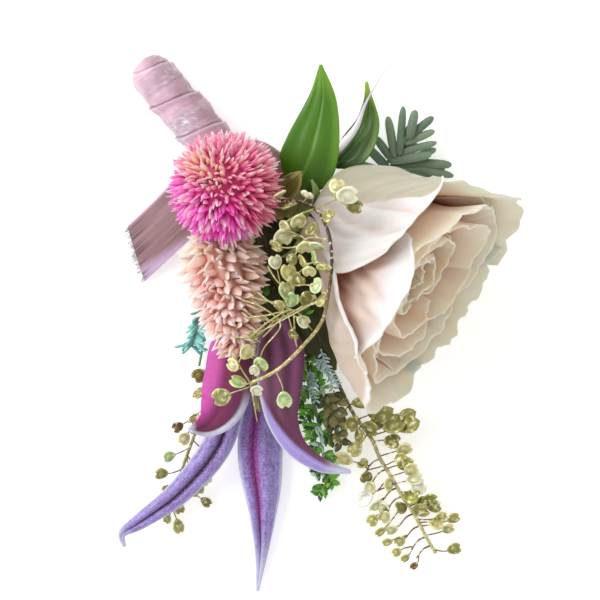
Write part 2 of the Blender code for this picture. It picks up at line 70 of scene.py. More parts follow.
def smooth_path(points, per_span=8):
    """A Catmull-Rom curve through points, or through plain numbers."""
    points = np.asarray(points, float)
    ends = np.concatenate([[2 * points[0] - points[1]], points, [2 * points[-1] - points[-2]]])
    path = []
    for a, b, c, d in zip(ends, ends[1:], ends[2:], ends[3:]):
        for t in np.arange(per_span) / per_span:
            path.append(0.5 * (2 * b + (c - a) * t + (2 * a - 5 * b + 4 * c - d) * t ** 2
                               + (3 * b - a - 3 * c + d) * t ** 3))
    path.append(points[-1])
    return np.array(path)


def along(values, share):
    """The values at those shares of an evenly spaced list."""
    values = np.asarray(values, float)
    reach = np.clip(np.asarray(share, float), 0, 1) * (len(values) - 1)
    low = np.minimum(reach.astype(int), len(values) - 2)
    part = reach - low
    if values.ndim > 1:
        part = part[..., None]
    return values[low] + (values[low + 1] - values[low]) * part


def eased(value, start, end):
    """0 before start, 1 after end, and a smooth rise between them."""
    t = np.clip((np.asarray(value, float) - start) / (end - start), 0, 1)
    return t * t * (3 - 2 * t)


def hump(value, middle, width):
    """1 at the middle, falling off on both sides."""
    return np.exp(-((np.asarray(value, float) - middle) / width) ** 2)


def ripples(points, size, seed=0.0):
    """Smooth noise from -1 to 1 at each point, with features of that size."""
    shift = Vector((seed * 7.3, seed * 3.1, -seed * 5.7))
    return np.array([noise.noise(Vector(p) / size + shift) for p in points])


def rippled(first, second, seed=0.0):
    """The same for pairs of numbers."""
    return ripples(np.column_stack([first, second, np.zeros(len(first))]), 1.0, seed)


def shade(red, green, blue):
    """A colour in steps from 0 to 255, as linear light."""
    steps = np.array((red, green, blue), float) / 255
    return np.where(steps > 0.04045, ((steps + 0.055) / 1.055) ** 2.4, steps / 12.92)


def mixed(first, second, amount):
    """Between two colours, or two rows of colours, point by point."""
    amount = np.clip(np.asarray(amount, float), 0, 1)[:, None]
    return first * (1 - amount) + second * amount


def toward(colour, goal, amount):
    """One colour moved towards another by that amount."""
    return mixed(colour[None], goal[None], [amount])[0]


def plain(colour, share):
    """The same colour at every one of those places."""
    return np.tile(colour, (len(share), 1))


# ---------------------------------------------------------------- making pieces

def deselect():
    bpy.ops.object.select_all(action="DESELECT")


def tinted(mesh, colours):
    """Stores a colour at each vertex, which the materials read."""
    layer = mesh.color_attributes.new(name="tint", type="FLOAT_COLOR", domain="POINT")
    full = np.column_stack([colours, np.ones(len(colours))])
    layer.data.foreach_set("color", full.astype(np.float32).ravel())


def vertices_of(mesh):
    found = np.empty(len(mesh.vertices) * 3)
    mesh.vertices.foreach_get("co", found)
    return found.reshape(-1, 3)


def move_vertices(mesh, points):
    mesh.vertices.foreach_set("co", np.asarray(points).ravel())
    mesh.update()


def fitted(piece, material, slot, *nodes):
    """Gives a finished piece its material, lets it ride, and hides the plain solids it stands for."""
    piece.data.materials.clear()
    piece.data.materials.append(material)
    piece.data.shade_smooth()
    if nodes:
        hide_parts(*nodes)
    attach(piece, "root")
    return piece


def flat_grid(name, rows, columns):
    """A flat grid, with each vertex's share along it and its place across it, from -1 to 1."""
    deselect()
    bpy.ops.mesh.primitive_grid_add(x_subdivisions=rows, y_subdivisions=columns, size=2)
    piece = bpy.context.object
    piece.name = piece.data.name = name
    flat = vertices_of(piece.data)
    return piece, (flat[:, 0] + 1) / 2, flat[:, 1]


def skin(name, surface, rows, columns, thickness, tints, rounding=0):
    """A thin closed skin over surface(share along, share across from -1 to 1). tints gives the colours of its
    under side and of its face."""
    piece, share, across = flat_grid(name, rows, columns)
    move_vertices(piece.data, metres(surface(share, across)))
    wall = piece.modifiers.new("wall", "SOLIDIFY")
    wall.thickness = thickness * MM
    wall.offset = 0
    bpy.ops.object.modifier_apply(modifier="wall")
    tinted(piece.data, np.concatenate(tints(share, across)))
    if rounding:
        softened = piece.modifiers.new("rounding", "SUBSURF")
        softened.levels = softened.render_levels = rounding
        bpy.ops.object.modifier_apply(modifier="rounding")
    return piece


class Bunch:
    """Many small closed shapes that grow together as one piece."""

    def __init__(self):
        self.points, self.faces, self.tints, self.count = [], [], [], 0

    def add(self, points, faces, colours):
        self.points.append(points)
        self.tints.append(np.broadcast_to(colours, (len(points), 3)))
        self.faces += [tuple(i + self.count for i in face) for face in faces]
        self.count += len(points)

    def piece(self, name):
        mesh = bpy.data.meshes.new(name)
        mesh.from_pydata(metres(np.concatenate(self.points)).tolist(), [], self.faces)
        tinted(mesh, np.concatenate(self.tints))
        made = bpy.data.objects.new(name, mesh)
        bpy.context.scene.collection.objects.link(made)
        return made


def tube(path, radii, sides=8):
    """A closed round tube along the path: its points and faces."""
    path = np.asarray(path, float)
    radii = np.broadcast_to(radii, len(path))
    ahead = unit(np.gradient(path, axis=0))
    side = unit(np.cross(ahead[0], UP if abs(ahead[0][2]) < 0.9 else point(1, 0, 0)))
    rings = [path[:1]]
    turns = np.arange(sides) * math.tau / sides
    for here, forward, radius in zip(path, ahead, radii):
        side = unit(side - forward * side.dot(forward))
        over = np.cross(forward, side)
        rings.append(here + radius * (np.cos(turns)[:, None] * side + np.sin(turns)[:, None] * over))
    rings.append(path[-1:])
    faces = [(0, 1 + (k + 1) % sides, 1 + k) for k in range(sides)]
    for row in range(len(path) - 1):
        low, high = 1 + row * sides, 1 + (row + 1) * sides
        faces += [(low + k, low + (k + 1) % sides, high + (k + 1) % sides, high + k) for k in range(sides)]
    last, end = 1 + (len(path) - 1) * sides, 1 + len(path) * sides
    faces += [(last + k, last + (k + 1) % sides, end) for k in range(sides)]
    return np.concatenate(rings), faces


def stem(name, path, radii, colours, material, slot, *nodes, sides=10):
    bunch = Bunch()
    points, faces = tube(path, radii, sides)
    points = points + unit(points - points.mean(0)) * 0.06 * ripples(points, 1.3)[:, None]
    bunch.add(points, faces, colours)
    return fitted(bunch.piece(name), material, slot, *nodes)


def pattern(segments, rings, shape, flat=False):
    """A small closed shape made once from a ball. Its side is x, its face z, and it grows along y from 0 to
    1. The ball's poles are at its foot and tip, or on its two faces if it is flat."""
    deselect()
    bpy.ops.mesh.primitive_uv_sphere_add(segments=segments, ring_count=rings, radius=1)
    ball = bpy.context.object
    x, y, z = vertices_of(ball.data).T
    tall, deep = (y, z) if flat else (z, y)
    faces = [tuple(face.vertices)[::1 if flat else -1] for face in ball.data.polygons]
    bpy.data.objects.remove(ball)
    return shape(np.column_stack([x, (tall + 1) / 2, deep])), faces


def slimmed(points, girth):
    """A pattern's sides and faces, brought in or out to that distance from its middle line."""
    scale = girth / np.maximum(np.hypot(points[:, 0], points[:, 2]), 1e-6)
    return points[:, 0] * scale, points[:, 2] * scale


def set_copy(bunch, made, start, reach, width, depth, facing, root_colour, tip_colour):
    """Adds a copy of a pattern: it starts at a point, and its length and way are those of reach."""
    points, faces = made
    ahead = unit(reach)
    side = unit(np.cross(ahead, facing))
    over = np.cross(side, ahead)
    placed = (start + points[:, :1] * side * width / 2 + points[:, 1:2] * np.asarray(reach)
              + points[:, 2:] * over * depth / 2)
    bunch.add(placed, faces, mixed(root_colour[None], tip_colour[None], points[:, 1]))


# ---------------------------------------------------------------- shared effects

def new_group(name, inputs, outputs):
    group = bpy.data.node_groups.new(name, "ShaderNodeTree")
    for label, kind, value in inputs:
        socket = group.interface.new_socket(name=label, in_out="INPUT", socket_type=kind)
        socket.default_value = value
    for label, kind in outputs:
        group.interface.new_socket(name=label, in_out="OUTPUT", socket_type=kind)
    return group, group.nodes.new("NodeGroupInput"), group.nodes.new("NodeGroupOutput")


def feed(tree, socket, value):
    """Gives a socket a number, a colour, or what another node puts out."""
    if isinstance(value, (int, float)):
        socket.default_value = value
    elif isinstance(value, (tuple, np.ndarray)):
        socket.default_value = (*value, 1.0)
    else:
        tree.links.new(value, socket)


def sum_node(tree, operation, first, second):
    made = tree.nodes.new("ShaderNodeMath")
    made.operation = operation
    feed(tree, made.inputs[0], first)
    feed(tree, made.inputs[1], second)
    return made.outputs[0]


def product(tree, first, second):
    return sum_node(tree, "MULTIPLY", first, second)


def mix_node(tree, factor, first, second, blend="MIX"):
    made = tree.nodes.new("ShaderNodeMix")
    made.data_type = "RGBA"
    made.blend_type = blend
    for index, value in ((0, factor), (6, first), (7, second)):
        feed(tree, made.inputs[index], value)
    return made.outputs[2]


def noise_node(tree, vector, scale, detail=2.0, roughness=0.5):
    made = tree.nodes.new("ShaderNodeTexNoise")
    for label, value in (("Vector", vector), ("Scale", scale), ("Detail", detail), ("Roughness", roughness)):
        feed(tree, made.inputs[label], value)
    return made.outputs["Fac"]


def range_node(tree, value, low, high, top=1.0):
    """0 where the value is low or less, and up to top where it is high."""
    made = tree.nodes.new("ShaderNodeMapRange")
    for label, number in (("Value", value), ("From Min", low), ("From Max", high), ("To Max", top)):
        feed(tree, made.inputs[label], number)
    return made.outputs[0]


def on_object(tree):
    return tree.nodes.new("ShaderNodeTexCoord").outputs["Object"]


def on_surface(tree):
    """The piece's own UV map: the share along it and the share across it."""
    place = tree.nodes.new("ShaderNodeUVMap")
    parts = tree.nodes.new("ShaderNodeSeparateXYZ")
    feed(tree, parts.inputs[0], place.outputs["UV"])
    return parts.outputs[0], parts.outputs[1]


def lit(tree, colour, swing, amount):
    """A colour made lighter where the swing is above 0, and darker where it is below."""
    gain = sum_node(tree, "ADD", product(tree, swing, amount), 1.0)
    level = tree.nodes.new("ShaderNodeCombineColor")
    for socket in level.inputs:
        feed(tree, socket, gain)
    return mix_node(tree, 1.0, colour, level.outputs[0], "MULTIPLY")


def mottling():
    """Uneven patches and fine grain that darken and lighten a colour."""
    group, enter, leave = new_group(
        "mottling",
        [("Color", "NodeSocketColor", (1, 1, 1, 1)), ("Amount", "NodeSocketFloat", 0.2),
         ("Scale", "NodeSocketFloat", 300.0)],
        [("Color", "NodeSocketColor"), ("Height", "NodeSocketFloat")],
    )
    patches = noise_node(group, on_object(group), enter.outputs["Scale"], 5.0, 0.6)
    grain = noise_node(group, on_object(group), product(group, enter.outputs["Scale"], 7.0))
    both = sum_node(group, "ADD", patches, product(group, grain, 0.5))
    swing = sum_node(group, "SUBTRACT", both, 0.75)
    feed(group, leave.inputs["Color"], lit(group, enter.outputs["Color"], swing, enter.outputs["Amount"]))
    feed(group, leave.inputs["Height"], both)
    return group


def veining():
    """Fine lines that run along a petal or a leaf, from its foot to its tip."""
    group, enter, leave = new_group(
        "veining",
        [("Color", "NodeSocketColor", (1, 1, 1, 1)), ("Vein", "NodeSocketColor", (0.5, 0.5, 0.5, 1)),
         ("Amount", "NodeSocketFloat", 0.3), ("Lines", "NodeSocketFloat", 40.0)],
        [("Color", "NodeSocketColor"), ("Height", "NodeSocketFloat")],
    )
    share, across = on_surface(group)
    joined = group.nodes.new("ShaderNodeCombineXYZ")
    feed(group, joined.inputs[0], product(group, share, 1.6))
    feed(group, joined.inputs[1], product(group, across, enter.outputs["Lines"]))
    lines = noise_node(group, joined.outputs[0], 1.0, 3.0)
    amount = product(group, range_node(group, lines, 0.42, 0.68), enter.outputs["Amount"])
    feed(group, leave.inputs["Color"], mix_node(group, amount, enter.outputs["Color"], enter.outputs["Vein"]))
    feed(group, leave.inputs["Height"], lines)
    return group


def weaving():
    """The crossing threads of a satin ribbon."""
    group, enter, leave = new_group(
        "weaving",
        [("Color", "NodeSocketColor", (1, 1, 1, 1)), ("Amount", "NodeSocketFloat", 0.3),
         ("Lengthwise", "NodeSocketFloat", 60.0), ("Crosswise", "NodeSocketFloat", 60.0)],
        [("Color", "NodeSocketColor"), ("Height", "NodeSocketFloat")],
    )
    waves = []
    for place, label in zip(on_surface(group), ("Lengthwise", "Crosswise")):
        turn = product(group, product(group, place, enter.outputs[label]), math.tau)
        waves.append(sum_node(group, "SINE", turn, 0.0))
    thread = sum_node(group, "ADD", product(group, waves[0], 0.35), product(group, waves[1], 0.15))
    feed(group, leave.inputs["Color"], lit(group, enter.outputs["Color"], thread, enter.outputs["Amount"]))
    feed(group, leave.inputs["Height"], thread)
    return group


MOTTLING = mottling()
VEINING = veining()
WEAVING = weaving()


def put_group(tree, group, **values):
    made = tree.nodes.new("ShaderNodeGroup")
    made.node_tree = group
    for label, value in values.items():
        feed(tree, made.inputs[label], value)
    return made.outputs["Color"], made.outputs["Height"]


def surface_material(name, roughness, patches, veins=None, weave=None, speck=None, bump=0.15, depth=0.1,
                     sheen=0.0, under=0.0, metallic=0.0, specular=0.5, colour=None):
    """A finish that starts from the vertex colours, or from one colour. patches are (amount, scale), veins
    (colour, amount, lines), weave (amount, lengthwise, crosswise), speck (colour, scale, share, amount), and
    under is the light that soaks through."""
    made = bpy.data.materials.new(name)
    made.use_nodes = True
    tree = made.node_tree
    shader = tree.nodes["Principled BSDF"]
    if colour is None:
        start = tree.nodes.new("ShaderNodeAttribute")
        start.attribute_name = "tint"
    else:
        start = tree.nodes.new("ShaderNodeRGB")
        start.outputs[0].default_value = (*colour, 1.0)
    result, height = put_group(tree, MOTTLING, Color=start.outputs["Color"], Amount=patches[0],
                               Scale=patches[1])
    if veins:
        result, lines = put_group(tree, VEINING, Color=result, Vein=veins[0], Amount=veins[1], Lines=veins[2])
        height = sum_node(tree, "ADD", height, lines)
    if weave:
        result, threads = put_group(tree, WEAVING, Color=result, Amount=weave[0], Lengthwise=weave[1],
                                    Crosswise=weave[2])
        height = sum_node(tree, "ADD", product(tree, height, 0.5), threads)
    if speck:
        cells = noise_node(tree, on_object(tree), speck[1])
        mask = range_node(tree, cells, 1 - speck[2] - 0.06, 1 - speck[2] + 0.06, speck[3])
        result = mix_node(tree, mask, result, speck[0])
    feed(tree, shader.inputs["Base Color"], result)
    relief = tree.nodes.new("ShaderNodeBump")
    relief.inputs["Strength"].default_value = bump
    relief.inputs["Distance"].default_value = depth * MM
    feed(tree, relief.inputs["Height"], height)
    feed(tree, shader.inputs["Normal"], relief.outputs[0])
    shader.inputs["Roughness"].default_value = roughness
    shader.inputs["Metallic"].default_value = metallic
    shader.inputs["Sheen Weight"].default_value = sheen
    shader.inputs["Specular IOR Level"].default_value = specular
    if under:
        shader.inputs["Subsurface Weight"].default_value = under
        shader.inputs["Subsurface Radius"].default_value = (1.0, 0.65, 0.5)
        shader.inputs["Subsurface Scale"].default_value = 1.6 * MM
    return made


SATIN = surface_material("dusty_pink_satin", 0.34, (0.3, 300.0), weave=(0.14, 260.0, 70.0), bump=0.3,
                         sheen=0.3)
TAIL_SATIN = surface_material("dusty_pink_satin_tail", 0.42, (0.35, 260.0), weave=(0.32, 110.0, 58.0),
                              bump=0.3, depth=0.06, sheen=0.2)
THREAD = surface_material("ribbon_thread", 0.55, (0.4, 500.0))
ROSE_SKIN = surface_material("rose_petal_skin", 0.5, (0.08, 220.0), veins=(shade(226, 204, 190), 0.12, 40.0),
                             bump=0.16, depth=0.12, sheen=0.1, under=0.55, specular=0.35)
PINK_PAPER = surface_material("amaranth_bract", 0.5, (0.35, 500.0), bump=0.2, sheen=0.05, under=0.45)
PEACH_PAPER = surface_material("celosia_bract", 0.45, (0.3, 500.0), bump=0.2, sheen=0.08, under=0.5)
FELT = surface_material("clematis_felt", 0.6, (0.75, 900.0), veins=(shade(96, 52, 122), 0.2, 22.0),
                        speck=(shade(206, 200, 236), 2200.0, 0.48, 0.3), bump=0.5, depth=0.16, sheen=0.3)
FELT_INSIDE = surface_material("clematis_inside", 0.5, (0.5, 700.0), veins=(shade(150, 70, 130), 0.18, 16.0),
                               bump=0.4, depth=0.14, sheen=0.25)
LEAF_SKIN = surface_material("glossy_leaf", 0.36, (0.2, 180.0), veins=(shade(120, 158, 40), 0.12, 26.0),
                             bump=0.25, under=0.06)
OLIVE_SKIN = surface_material("gilded_leaf_skin", 0.42, (0.6, 260.0), veins=(shade(60, 56, 20), 0.4, 20.0),
                              bump=0.4, depth=0.12, metallic=0.25)
SAGE_SKIN = surface_material("acacia_leaflet", 0.62, (0.4, 300.0), bump=0.3, sheen=0.3)
FERN_SKIN = surface_material("fern_leaflet", 0.45, (0.6, 400.0),
                             speck=(shade(200, 232, 216), 640.0, 0.3, 0.9),
                             bump=0.3)
LILAC_SKIN = surface_material("lilac_blade_skin", 0.42, (0.15, 300.0), under=0.1)
STEM_SKIN = surface_material("green_stem", 0.5, (0.5, 260.0), bump=0.3)
GILT = surface_material("gilt_paint_on_green", 0.34, (0.7, 420.0),
                        speck=(shade(236, 230, 186), 900.0, 0.4, 0.9),
                        bump=0.45, depth=0.12, metallic=0.35)
STAMEN_SKIN = surface_material("stamen_thread", 0.6, (0.3, 500.0))
TAPE = surface_material("stem_tape_crepe", 0.7, (0.5, 700.0), bump=0.5, colour=shade(96, 118, 74))

for node in ("stem_tape", "binding_band"):
    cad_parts[node].data.materials.clear()
    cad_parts[node].data.materials.append(TAPE)


# ---------------------------------------------------------------- the stem bundle and its ribbon

BUNDLE_START = point(-19.5, 22.4, 6.0)
BUNDLE_END = point(0.0, 0.0, 6.5)
BUNDLE_AXIS = unit(BUNDLE_END - BUNDLE_START)
BUNDLE_SIDE = -unit(np.cross(BUNDLE_AXIS, UP))
BUNDLE_UP = -unit(np.cross(BUNDLE_SIDE, BUNDLE_AXIS))
BUNDLE_LENGTH = float(np.linalg.norm(BUNDLE_END - BUNDLE_START))
RING_RADIUS = 3.2
STEM_RADIUS = 0.75
RING_ORDER = (
    "acacia_upper", "lilac_blade", "ruscus", "lepidium_centre", "amaranth", "celosia",
    "acacia_left", "lepidium_left", "clematis", "fern", "lepidium_right",
)


def bundle_point(name, share):
    angle = math.tau * RING_ORDER.index(name) / len(RING_ORDER)
    offset = BUNDLE_SIDE * math.cos(angle) + BUNDLE_UP * math.sin(angle)
    return BUNDLE_START + (BUNDLE_END - BUNDLE_START) * share + offset * RING_RADIUS


def bound_route(name, way, per_span=8):
    """A stem's route: inside the bundle, straight out of its mouth, then along the given way."""
    inside = [bundle_point(name, share) for share in (0.08, 0.55, 0.98)]
    return smooth_path([*inside, bundle_point(name, 1.0) + BUNDLE_AXIS * 2.4, *way], per_span)


MOUTH = BUNDLE_LENGTH - 1.8
WRAP_PITCH = 9.3
# Distance along the axis and radius: the rounded tip, the outer wall, the mouth, and the wall inside
WRAP_PROFILE = (
    (-5.6, 0.0), (-5.5, 1.6), (-4.9, 3.1), (-3.8, 4.3), (-2.2, 4.95), (0.0, 5.15), (3.0, 5.2),
    (MOUTH - 0.4, 5.2), (MOUTH, 4.9), (MOUTH - 0.3, 4.65), (2.0, 4.65), (0.0, 4.5), (-1.2, 3.4), (-1.6, 0.0),
)


def wrap_laps(distance, turn):
    """How many turns the ribbon has made by that distance along the bundle and that turn round it."""
    return (distance - 6.4 - WRAP_PITCH * (math.pi / 2 - turn) / math.tau + 4 * WRAP_PITCH) / WRAP_PITCH


def wrap_surface(share, across):
    """Each turn of the ribbon lies over the one before it, its edge raised and its slack in soft wrinkles."""
    profile = np.array(WRAP_PROFILE)
    knots = np.concatenate([[0], np.cumsum(np.linalg.norm(np.diff(profile, axis=0), axis=1))])
    place = share * knots[-1]
    distance = np.interp(place, knots, profile[:, 0])
    radius = np.interp(place, knots, profile[:, 1])
    turn = across * math.pi
    laps = wrap_laps(distance, turn)
    phase = laps % 1.0
    outside = eased(radius, 4.7, 4.95) * (place < knots[8])
    early = eased(distance, -6.0, -3.0)
    lipped = np.exp(-phase / 0.12) * 0.42 + (1 - phase) * 0.18 - hump(phase, 0.985, 0.02) * 0.35
    circle = np.column_stack([np.cos(turn) * 1.6, np.sin(turn) * 1.6, distance * 0.16])
    slanted = np.column_stack([turn * 0.35 + distance * 0.55, distance * 0.12, np.floor(laps) * 3.1])
    folds = ripples(circle, 0.55, 2.0) * 0.34 + ripples(slanted, 0.34, 5.0) * 0.09
    knob = 0.55 * hump(distance, 12.2, 1.7) * hump(np.cos(turn - 0.3), 1.0, 0.55)
    waist = -0.35 * hump(distance, 7.0, 1.4)
    radius = radius + outside * early * (lipped + folds + knob + waist)
    radius = radius + np.minimum(radius, 1.0) * ripples(circle, 1.4, 8.0) * 0.3 * (place < knots[6])
    spread = BUNDLE_SIDE * np.cos(turn)[:, None] + BUNDLE_UP * np.sin(turn)[:, None]
    return BUNDLE_START + BUNDLE_AXIS * distance[:, None] + spread * radius[:, None]


def wrap_piece():
    piece, share, across = flat_grid("ribbon_wrap", 360, 110)
    placed = wrap_surface(share, across)
    move_vertices(piece.data, metres(placed))
    turn = across * math.pi
    distance = (placed - BUNDLE_START) @ BUNDLE_AXIS
    phase = wrap_laps(distance, turn) % 1.0
    # Painted light and shade: the wrap is painted lighter on its left, towards the light, and darker on its
    # right, away from it.
    tints = mixed(shade(222, 182, 202)[None], shade(168, 124, 138)[None], eased(np.cos(turn), -0.4, 0.95))
    tints = mixed(tints, shade(200, 160, 176), 0.5 * eased(ripples(placed, 2.6, 12.0), -0.2, 0.5))
    # A painted highlight: a silvery patch on the lit side past the knob and near the rounded tip, streaked
    # with paler glints.
    highlight_streaks = ripples(np.column_stack([turn * 3.4 + distance * 0.5, distance * 0.5, 0 * turn]), 0.5, 3.0)
    painted_highlight = hump(distance, 12.4, 3.0) * hump(np.cos(turn), -0.35, 0.8) + 0.4 * hump(distance, 1.0, 3.6)
    tints = mixed(tints, shade(188, 180, 194), 0.8 * painted_highlight)
    tints = mixed(tints, shade(246, 240, 248), 0.8 * painted_highlight * eased(highlight_streaks, 0.0, 0.5))
    # Painted shadow: a dark line just before each turn's raised edge, where that edge shades the turn below;
    # and a painted highlight: a pale line along the raised edge.
    tints = mixed(tints, shade(112, 70, 84), 0.5 * hump(phase, 0.985, 0.022))
    tints = mixed(tints, shade(238, 214, 228), 0.6 * hump(phase, 0.04, 0.03))
    tinted(piece.data, tints)
    bpy.ops.object.mode_set(mode="EDIT")
    bpy.ops.mesh.select_all(action="SELECT")
    bpy.ops.mesh.remove_doubles(threshold=0.00001)
    bpy.ops.mesh.normals_make_consistent(inside=False)
    bpy.ops.object.mode_set(mode="OBJECT")
    fitted(piece, SATIN, "satin", "ribbon_wrap")


def blade_surface(spine, half_widths, face, cup, relief=None, slant=0.0):
    """A leaf, tepal or ribbon end that follows its spine, cupped across. relief(share, across) raises it
    towards its face, and slant cuts its end aslant."""
    path = smooth_path(spine, 12)
    halves = np.maximum(smooth_path(half_widths, 12), 0.12)
    face = unit(face)

    def surface(share, across):
        here = along(path, share)
        ahead = along(path, np.minimum(share + 0.02, 1)) - along(path, np.maximum(share - 0.02, 0))
        side = unit(np.cross(ahead, face))
        out = unit(np.cross(side, ahead))
        half = along(halves, share)
        rise = -half * cup * across ** 2
        if relief is not None:
            rise = rise + relief(share, across)
        reach = unit(ahead) * (slant * across * share)[:, None]
        return here + side * (half * across)[:, None] + reach + out * rise[:, None]

    return surface


def ribbon_knot():
    deselect()
    bpy.ops.mesh.primitive_cube_add(size=1)
    knot = bpy.context.object
    knot.name = knot.data.name = "ribbon_knot"
    bpy.ops.object.mode_set(mode="EDIT")
    bpy.ops.mesh.subdivide(number_cuts=9)
    bpy.ops.object.mode_set(mode="OBJECT")
    cube = vertices_of(knot.data) * 2
    ball = unit(cube)
    points = (cube * 0.45 + ball * 0.62) * np.array((2.9, 2.3, 1.3))
    points = points * (1 + 0.12 * np.sin(cube[:, :1] * 7 + cube[:, 1:2] * 2) * np.abs(ball[:, 2:]))
    centre = point(-3.0, 3.4, 13.6)
    placed = centre + points[:, :1] * BUNDLE_SIDE + points[:, 1:2] * BUNDLE_AXIS + points[:, 2:] * UP
    move_vertices(knot.data, metres(placed))
    # Painted light and shade: the knot is lighter on top and darker underneath.
    tinted(knot.data, mixed(shade(184, 138, 150)[None], shade(214, 176, 192)[None], 0.5 + 0.5 * ball[:, 2]))
    fitted(knot, TAIL_SATIN, "satin", "ribbon_knot")


def frayed_threads(surface, count=52):
    """Loose threads past the cut end of a ribbon."""
    places = np.linspace(-0.97, 0.97, count)
    fray = Bunch()
    for start, behind in zip(surface(np.full(count, 0.985), places), surface(np.full(count, 0.93), places)):
        way = unit(unit(start - behind) + point(*(chance.uniform(-0.28, 0.28) for _ in range(3))))
        length = chance.uniform(0.6, 2.2)
        bend = point(chance.uniform(-0.3, 0.3), chance.uniform(-0.3, 0.3), chance.uniform(-0.25, 0.1))
        path = [start, start + way * length * 0.5 + bend * 0.4, start + way * length + bend]
        points, faces = tube(smooth_path(path, 3), 0.07, 4)
        points[:, 2] = np.maximum(points[:, 2], 0.1)
        fray.add(points, faces, toward(shade(64, 44, 50), shade(150, 118, 128), chance.random() ** 2))
    return fitted(fray.piece("ribbon_tail_left_fray"), THREAD, "satin")


def left_tail():
    def waves(share, across):
        return 0.35 * np.sin(share * 5 + across * 1.2) * share + 0.22 * rippled(share * 5, across * 1.5, 4.0)

    def tints(share, across):
        # The face's dark mauve is partly the ribbon's own colour and partly painted shade, as the flat tail
        # faces away from the light.
        face = mixed(shade(158, 124, 128)[None], shade(136, 102, 106)[None],
                     rippled(share * 3, across * 2, 2.0) + 0.5)
        face = mixed(face, shade(196, 168, 176), 0.22 * eased(rippled(across * 9, share * 2, 1.0), 0.1, 0.5))
        face = mixed(face, shade(214, 186, 226), 0.95 * eased(share * 0.75 - across * 0.65, 0.95, 1.3))
        threads = eased(rippled(across * 24, share * 1.5, 5.0), -0.1, 0.3)
        face = mixed(face, shade(70, 48, 54), 0.85 * eased(share + 0.06 * across, 0.86, 0.98) * threads)
        # A painted highlight along both edges.
        face = mixed(face, shade(214, 176, 204), eased(across, 0.93, 0.97) * 0.8)
        return mixed(face, shade(120, 84, 92), 0.4 + across * 0), face

    surface = blade_surface(((-5.5, 1.2, 13.4), (-9.5, -3.4, 12.0), (-15.1, -9.4, 8.0), (-24.4, -18.1, 3.0)),
                            (1.6, 3.8, 5.4, 6, 6, 6), UP, 0.08, waves, slant=-3.2)
    tail = skin("ribbon_tail_left", surface, 90, 44, 0.22, tints)
    fitted(tail, TAIL_SATIN, "satin", "ribbon_tail_left")
    threads = frayed_threads(surface)


def right_tail():
    def waves(share, across):
        return 0.5 * np.sin(share * 4.5 + 0.8) * across + 0.2 * rippled(share * 4, across * 2, 7.0)

    def tints(share, across):
        # As on the left tail, the dark mauve is partly painted shade, darker towards the end, and both edges
        # get a painted highlight.
        face = mixed(shade(166, 122, 128)[None], shade(132, 96, 98)[None], share + 0.2 * across)
        return face, mixed(face, shade(212, 170, 186), eased(np.abs(across), 0.9, 0.97) * 0.7)

    surface = blade_surface(((-1.4, 5.0, 13.6), (2.8, 4.4, 13.2), (6.2, 2.0, 12.2), (9.2, -0.6, 11.4)),
                            (2.0, 4.0, 4.6, 4.4), UP, 0.08, waves)
    tail = skin("ribbon_tail_right", surface, 40, 36, 0.22, tints)
    fitted(tail, TAIL_SATIN, "satin", "ribbon_tail_right")


# ---------------------------------------------------------------- the rose

ROSE_BASE = point(16.6, -10.8, 13.2)
ROSE_AXIS = unit(point(0.79, -0.46, 0.407))
ROSE_NEAR = unit(UP - ROSE_AXIS * ROSE_AXIS[2])
ROSE_LOW = np.cross(ROSE_AXIS, ROSE_NEAR)

# The rose's outline seen along four sides: distance from its axis at seven heights from hip to rim
ROSE_SIDES = (
    (-100.0, (7.0, 17.2, 20.3, 21.4, 22.4, 24.8, 28.4)),
    (-10.0, (4.8, 7.0, 10.2, 14.6, 19.0, 22.6, 24.4)),
    (80.0, (4.8, 6.6, 11.6, 18.4, 24.0, 27.4, 28.6)),
    (170.0, (4.8, 8.0, 12.6, 15.2, 16.2, 16.8, 17.4)),
)

# The five outer petals: the angles of their two edges at four heights, then rim height from edge to edge, how
# far each lies outside its neighbours, how much its rim turns back, and how much it frills
OUTER_PETALS = {
    1: ((-72, -104, -90, -58), (-20, 26, 18, -11), (30.5, 32.4, 33.0, 33, 33.6), 1.2, 1.9, 0.5),
    2: ((-8, -24, -28, -20), (44, 60, 58, 60), (34.5, 39.4, 39.8, 37.0, 33.6), -0.3, 1.2, 0.5),
    3: ((46, 20, 31, 56), (112, 140, 142, 137), (36.6, 36.8, 36.6, 36.6, 36.4), 1.7, 0.6, 1.4),
    4: ((140, 124, 122, 127), (205, 226, 228, 223), (36.6, 36.8, 36.4, 36.8, 38.0), 0.0, 0.5, 1.6),
    5: ((225, 206, 206, 213), (285, 312, 306, 290), (38.0, 37.6, 38.4, 40.2, 31), 1.6, 0.5, 1.9),
}
# The same five petals: how deep their folds are, how green they are inside, and the two tones of their backs
FOLD_DEPTHS = (2.2, 1.2, 0.9, 0.5, 0.5)
GREENING = (0.3, 0.3, 0.6, 0.85, 0.85)
# The deeper tone of each pair is partly painted shade.
BACK_TONES_AND_SHADE = (
    (shade(226, 222, 220), shade(212, 195, 184)), (shade(224, 222, 225), shade(222, 196, 182)),
    (shade(208, 196, 180), shade(192, 170, 154)), (shade(216, 217, 196), shade(196, 190, 166)),
    (shade(216, 217, 196), shade(196, 190, 166)),
)


def rose_point(height, radius, angle):
    turn = np.radians(angle)[:, None]
    return (ROSE_BASE + ROSE_AXIS * height[:, None]
            + (ROSE_NEAR * np.cos(turn) + ROSE_LOW * np.sin(turn)) * radius[:, None])


def rose_radius(share, angle):
    """Distance from the axis to the rose's outline at that height and angle."""
    radius = 0.0
    for side, profile in ROSE_SIDES:
        weight = np.maximum(np.cos(np.radians(angle - side)), 0) ** 2
        radius = radius + weight * along(smooth_path(profile, 8), share)
    tucked = hump((angle - 48 + 180) % 360 - 180, 0.0, 24.0)
    return radius - 4.6 * tucked * eased(share, 0.4, 1.0)


def rose_sag(share, angle):
    """On its upper side the rose bulges back below its hip."""
    return 3.4 * np.maximum(np.cos(np.radians(angle + 100.0)), 0) * hump(share, 0.09, 0.09)


